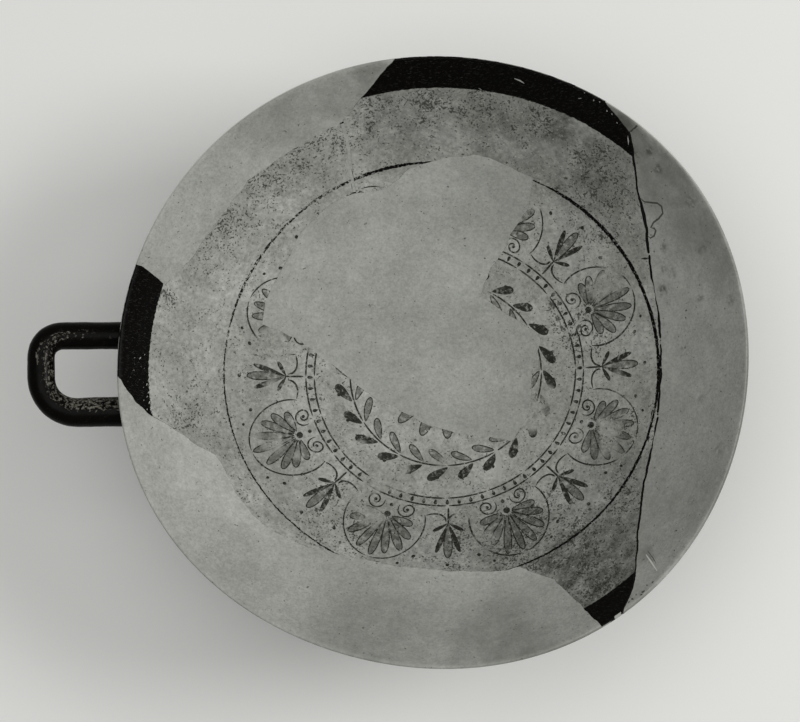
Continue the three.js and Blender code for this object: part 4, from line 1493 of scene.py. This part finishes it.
# Bezier curve: each control point counts by its Bernstein share, C(n, i) t^i (1 - t)^(n - i).
def bezier(controls, count=60):
    t = np.linspace(0, 1, count)[:, None]
    n = len(controls) - 1
    shares = [math.comb(n, i) * t ** i * (1 - t) ** (n - i) for i in range(n + 1)]
    return sum(share * np.array(control) for share, control in zip(shares, controls))


# Height of the bowl's outer face at a radius before it is drawn out of round.
def underside(radius):
    out = arcRadius + cup["wallAtFloor"]
    for _ in range(6):
        angle = np.arcsin(radius / out)
        out = arcRadius + wallAt(arcRadius * angle)
    return arcHeight - out * np.cos(angle)


# Profile of stem and foot as (radius, height, zone) from the middle of the stem's top, down and
# out over the foot, round its edge and up the hollow. Zone 0 is glossed and 1 is bare clay.
def footProfile():
    edge, rounding = foot["radius"], foot["edgeRound"]
    waist = foot["top"] + foot["stemHeight"] / 2
    bowlFoot = lipHeight - cup["bowlDepth"] - cup["wallAtFloor"]
    narrow = foot["stemRadius"]
    flare = bezier([
        (foot["stemFlare"], bowlFoot + cup["wallAtFloor"] / 2),
        (narrow, bowlFoot - foot["slope"]),
        (narrow, waist),
    ])
    flare = flare[flare[:, 1] < underside(flare[:, 0]) - foot["standOff"]]
    capRadius = np.linspace(0, flare[0, 0], 24)[:-1]
    cap = np.stack([capRadius, underside(capRadius) - foot["standOff"]], 1)
    spread = bezier([
        (narrow, waist),
        (narrow, (foot["top"] + waist) / 2 - foot["slope"]),
        ((edge + narrow) / 2 - foot["step"], foot["top"] + foot["slope"]),
        (edge - foot["step"], foot["top"]),
    ])
    high, within = foot["edge"], edge - rounding
    upperEdge = bezier([(within, high), (edge, high), (edge, high - rounding)], 8)
    lowerEdge = bezier([(edge, rounding), (edge, 0), (within, 0)], 8)
    inside = within - foot["standingRing"]
    hollow = bezier([
        (inside, 0),
        (foot["hollowRadius"] + foot["hollowRise"], foot["hollowRise"]),
        (foot["hollowRadius"], foot["hollowDepth"]),
        (0, foot["hollowDepth"]),
    ])
    path = np.concatenate([cap, flare, spread[1:], upperEdge, lowerEdge, hollow])
    run = np.concatenate([[0], np.cumsum(np.hypot(*np.diff(path, axis=0).T))])
    keep = np.concatenate([[True], np.diff(run) > 1e-6])
    path, run = path[keep], run[keep]
    even = np.linspace(0, run[-1], int(run[-1] / foot["spacing"]))
    even = np.union1d(even, run[np.hypot(*np.gradient(path, axis=0).T) < 0.6])
    even = even[np.concatenate([[True], np.diff(even) > foot["closest"]])]
    even[-1] = run[-1]
    left = run[-1] - even
    radius, height = np.interp(even, run, path[:, 0]), np.interp(even, run, path[:, 1])
    onTop = (height > high - 0.5) & (radius > narrow + 4)
    place, depth, half = foot["groove"]
    height = height - np.where(onTop, depth * np.exp(-((radius - place) / half) ** 2), 0)
    rings = 1 - np.cos(2 * math.pi * left / foot["turningRing"])
    ringed = (left < foot["turnedRun"]) & (height > 0.3)
    height = height + np.where(ringed, foot["turningRingHeight"] * rings, 0)
    radius[0] = radius[-1] = 0
    below, behind = foot["bareEdge"]
    bare = (height < high - below) & (radius > edge - behind) | (left < foot["bareRun"])
    return radius, height, bare


# The profile turned about the cup's axis. The two ends on the axis are single points.
def makeFoot():
    radius, height, bare = footProfile()
    bearing = np.linspace(0, 2 * math.pi, foot["around"], endpoint=False)
    r, h = radius[1:-1, None], height[1:-1, None]
    points = np.stack([
        r * np.cos(bearing) + axisX, r * np.sin(bearing) + axisY, h + 0 * bearing,
    ], -1)
    count = len(bearing)
    number = np.arange(len(r) * count).reshape(len(r), count)
    a, b = number[:-1], number[1:]
    c, d = np.roll(b, -1, 1), np.roll(a, -1, 1)
    faces = np.stack([np.stack([a, b, c], -1), np.stack([a, c, d], -1)], 2).reshape(-1, 3)
    top, bottom = np.full(count, number.size), np.full(count, number.size + 1)
    ring, last = number[0], number[-1]
    faces = np.concatenate([
        faces,
        np.stack([top, ring, np.roll(ring, -1)], 1),
        np.stack([bottom, np.roll(last, -1), last], 1),
    ])
    poles = [[axisX, axisY, height[0]], [axisX, axisY, height[-1]]]
    points = np.concatenate([points.reshape(-1, 3), poles])
    isBare = (bare[1:-2] | bare[2:-1]).repeat(2 * count)
    zone = np.concatenate([isBare, np.zeros(count), np.ones(count)])
    reach, deepest = foot["wornEdge"]
    edgeWear = np.clip(1 - np.abs(radius - foot["radius"] + 1) / reach, 0, 1) * deepest
    wear = np.append(edgeWear[1:-1].repeat(count), [0, 0])
    attributes = [("wear", "POINT", "FLOAT", wear)]
    piece = makePiece("stemAndFoot", points, faces, [footGloss, footClay], zone, attributes, 50)
    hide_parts("stem_and_foot")
    return piece


print(makeFoot().name, "made")

# Floor and light: power in watts, lengths in metres, colours in sRGB
studio = {
    "floor": "#e8e8e5",
    "floorSize": 8.0,
    "world": 0.36,
    "lamps": {
        "overhead": ((0.1, 0.0, 2.6), 1.8, 20.0),
        "key": ((1.95, 0.15, 1.75), 0.9, 31.0),
    },
}


# The floor is one square in the plane z = 0. Lamps are squares that look at the cup.
def makeStudio():
    material, tree, surface = newMaterial("painted_board_matt")
    feed(tree, surface, {
        "Base Color": linear(studio["floor"]), "Roughness": 0.9, "Specular IOR Level": 0.1,
    })
    corners = np.array([(-1, -1, 0), (1, -1, 0), (1, 1, 0), (-1, 1, 0)]) * studio["floorSize"] / 2
    mesh = bpy.data.meshes.new("floor")
    mesh.from_pydata(corners.tolist(), [], [(0, 1, 2, 3)])
    mesh.materials.append(material)
    floor = bpy.data.objects.new("floor", mesh)
    bpy.context.scene.collection.objects.link(floor)
    for name, (place, size, power) in studio["lamps"].items():
        data = bpy.data.lights.new(name, "AREA")
        data.size = size
        data.energy = power
        lamp = bpy.data.objects.new(name, data)
        lamp.location = place
        lamp.rotation_euler = Vector(place).to_track_quat("Z", "Y").to_euler()
        bpy.context.scene.collection.objects.link(lamp)
    world = bpy.data.worlds.new("studio")
    world.use_nodes = True
    light = world.node_tree.nodes["Background"]
    feed(world.node_tree, light, {"Color": (1, 1, 1, 1), "Strength": studio["world"]})
    bpy.context.scene.world = world
    bpy.context.scene.view_settings.view_transform = "Standard"


makeStudio()
print("floor and lamps set")
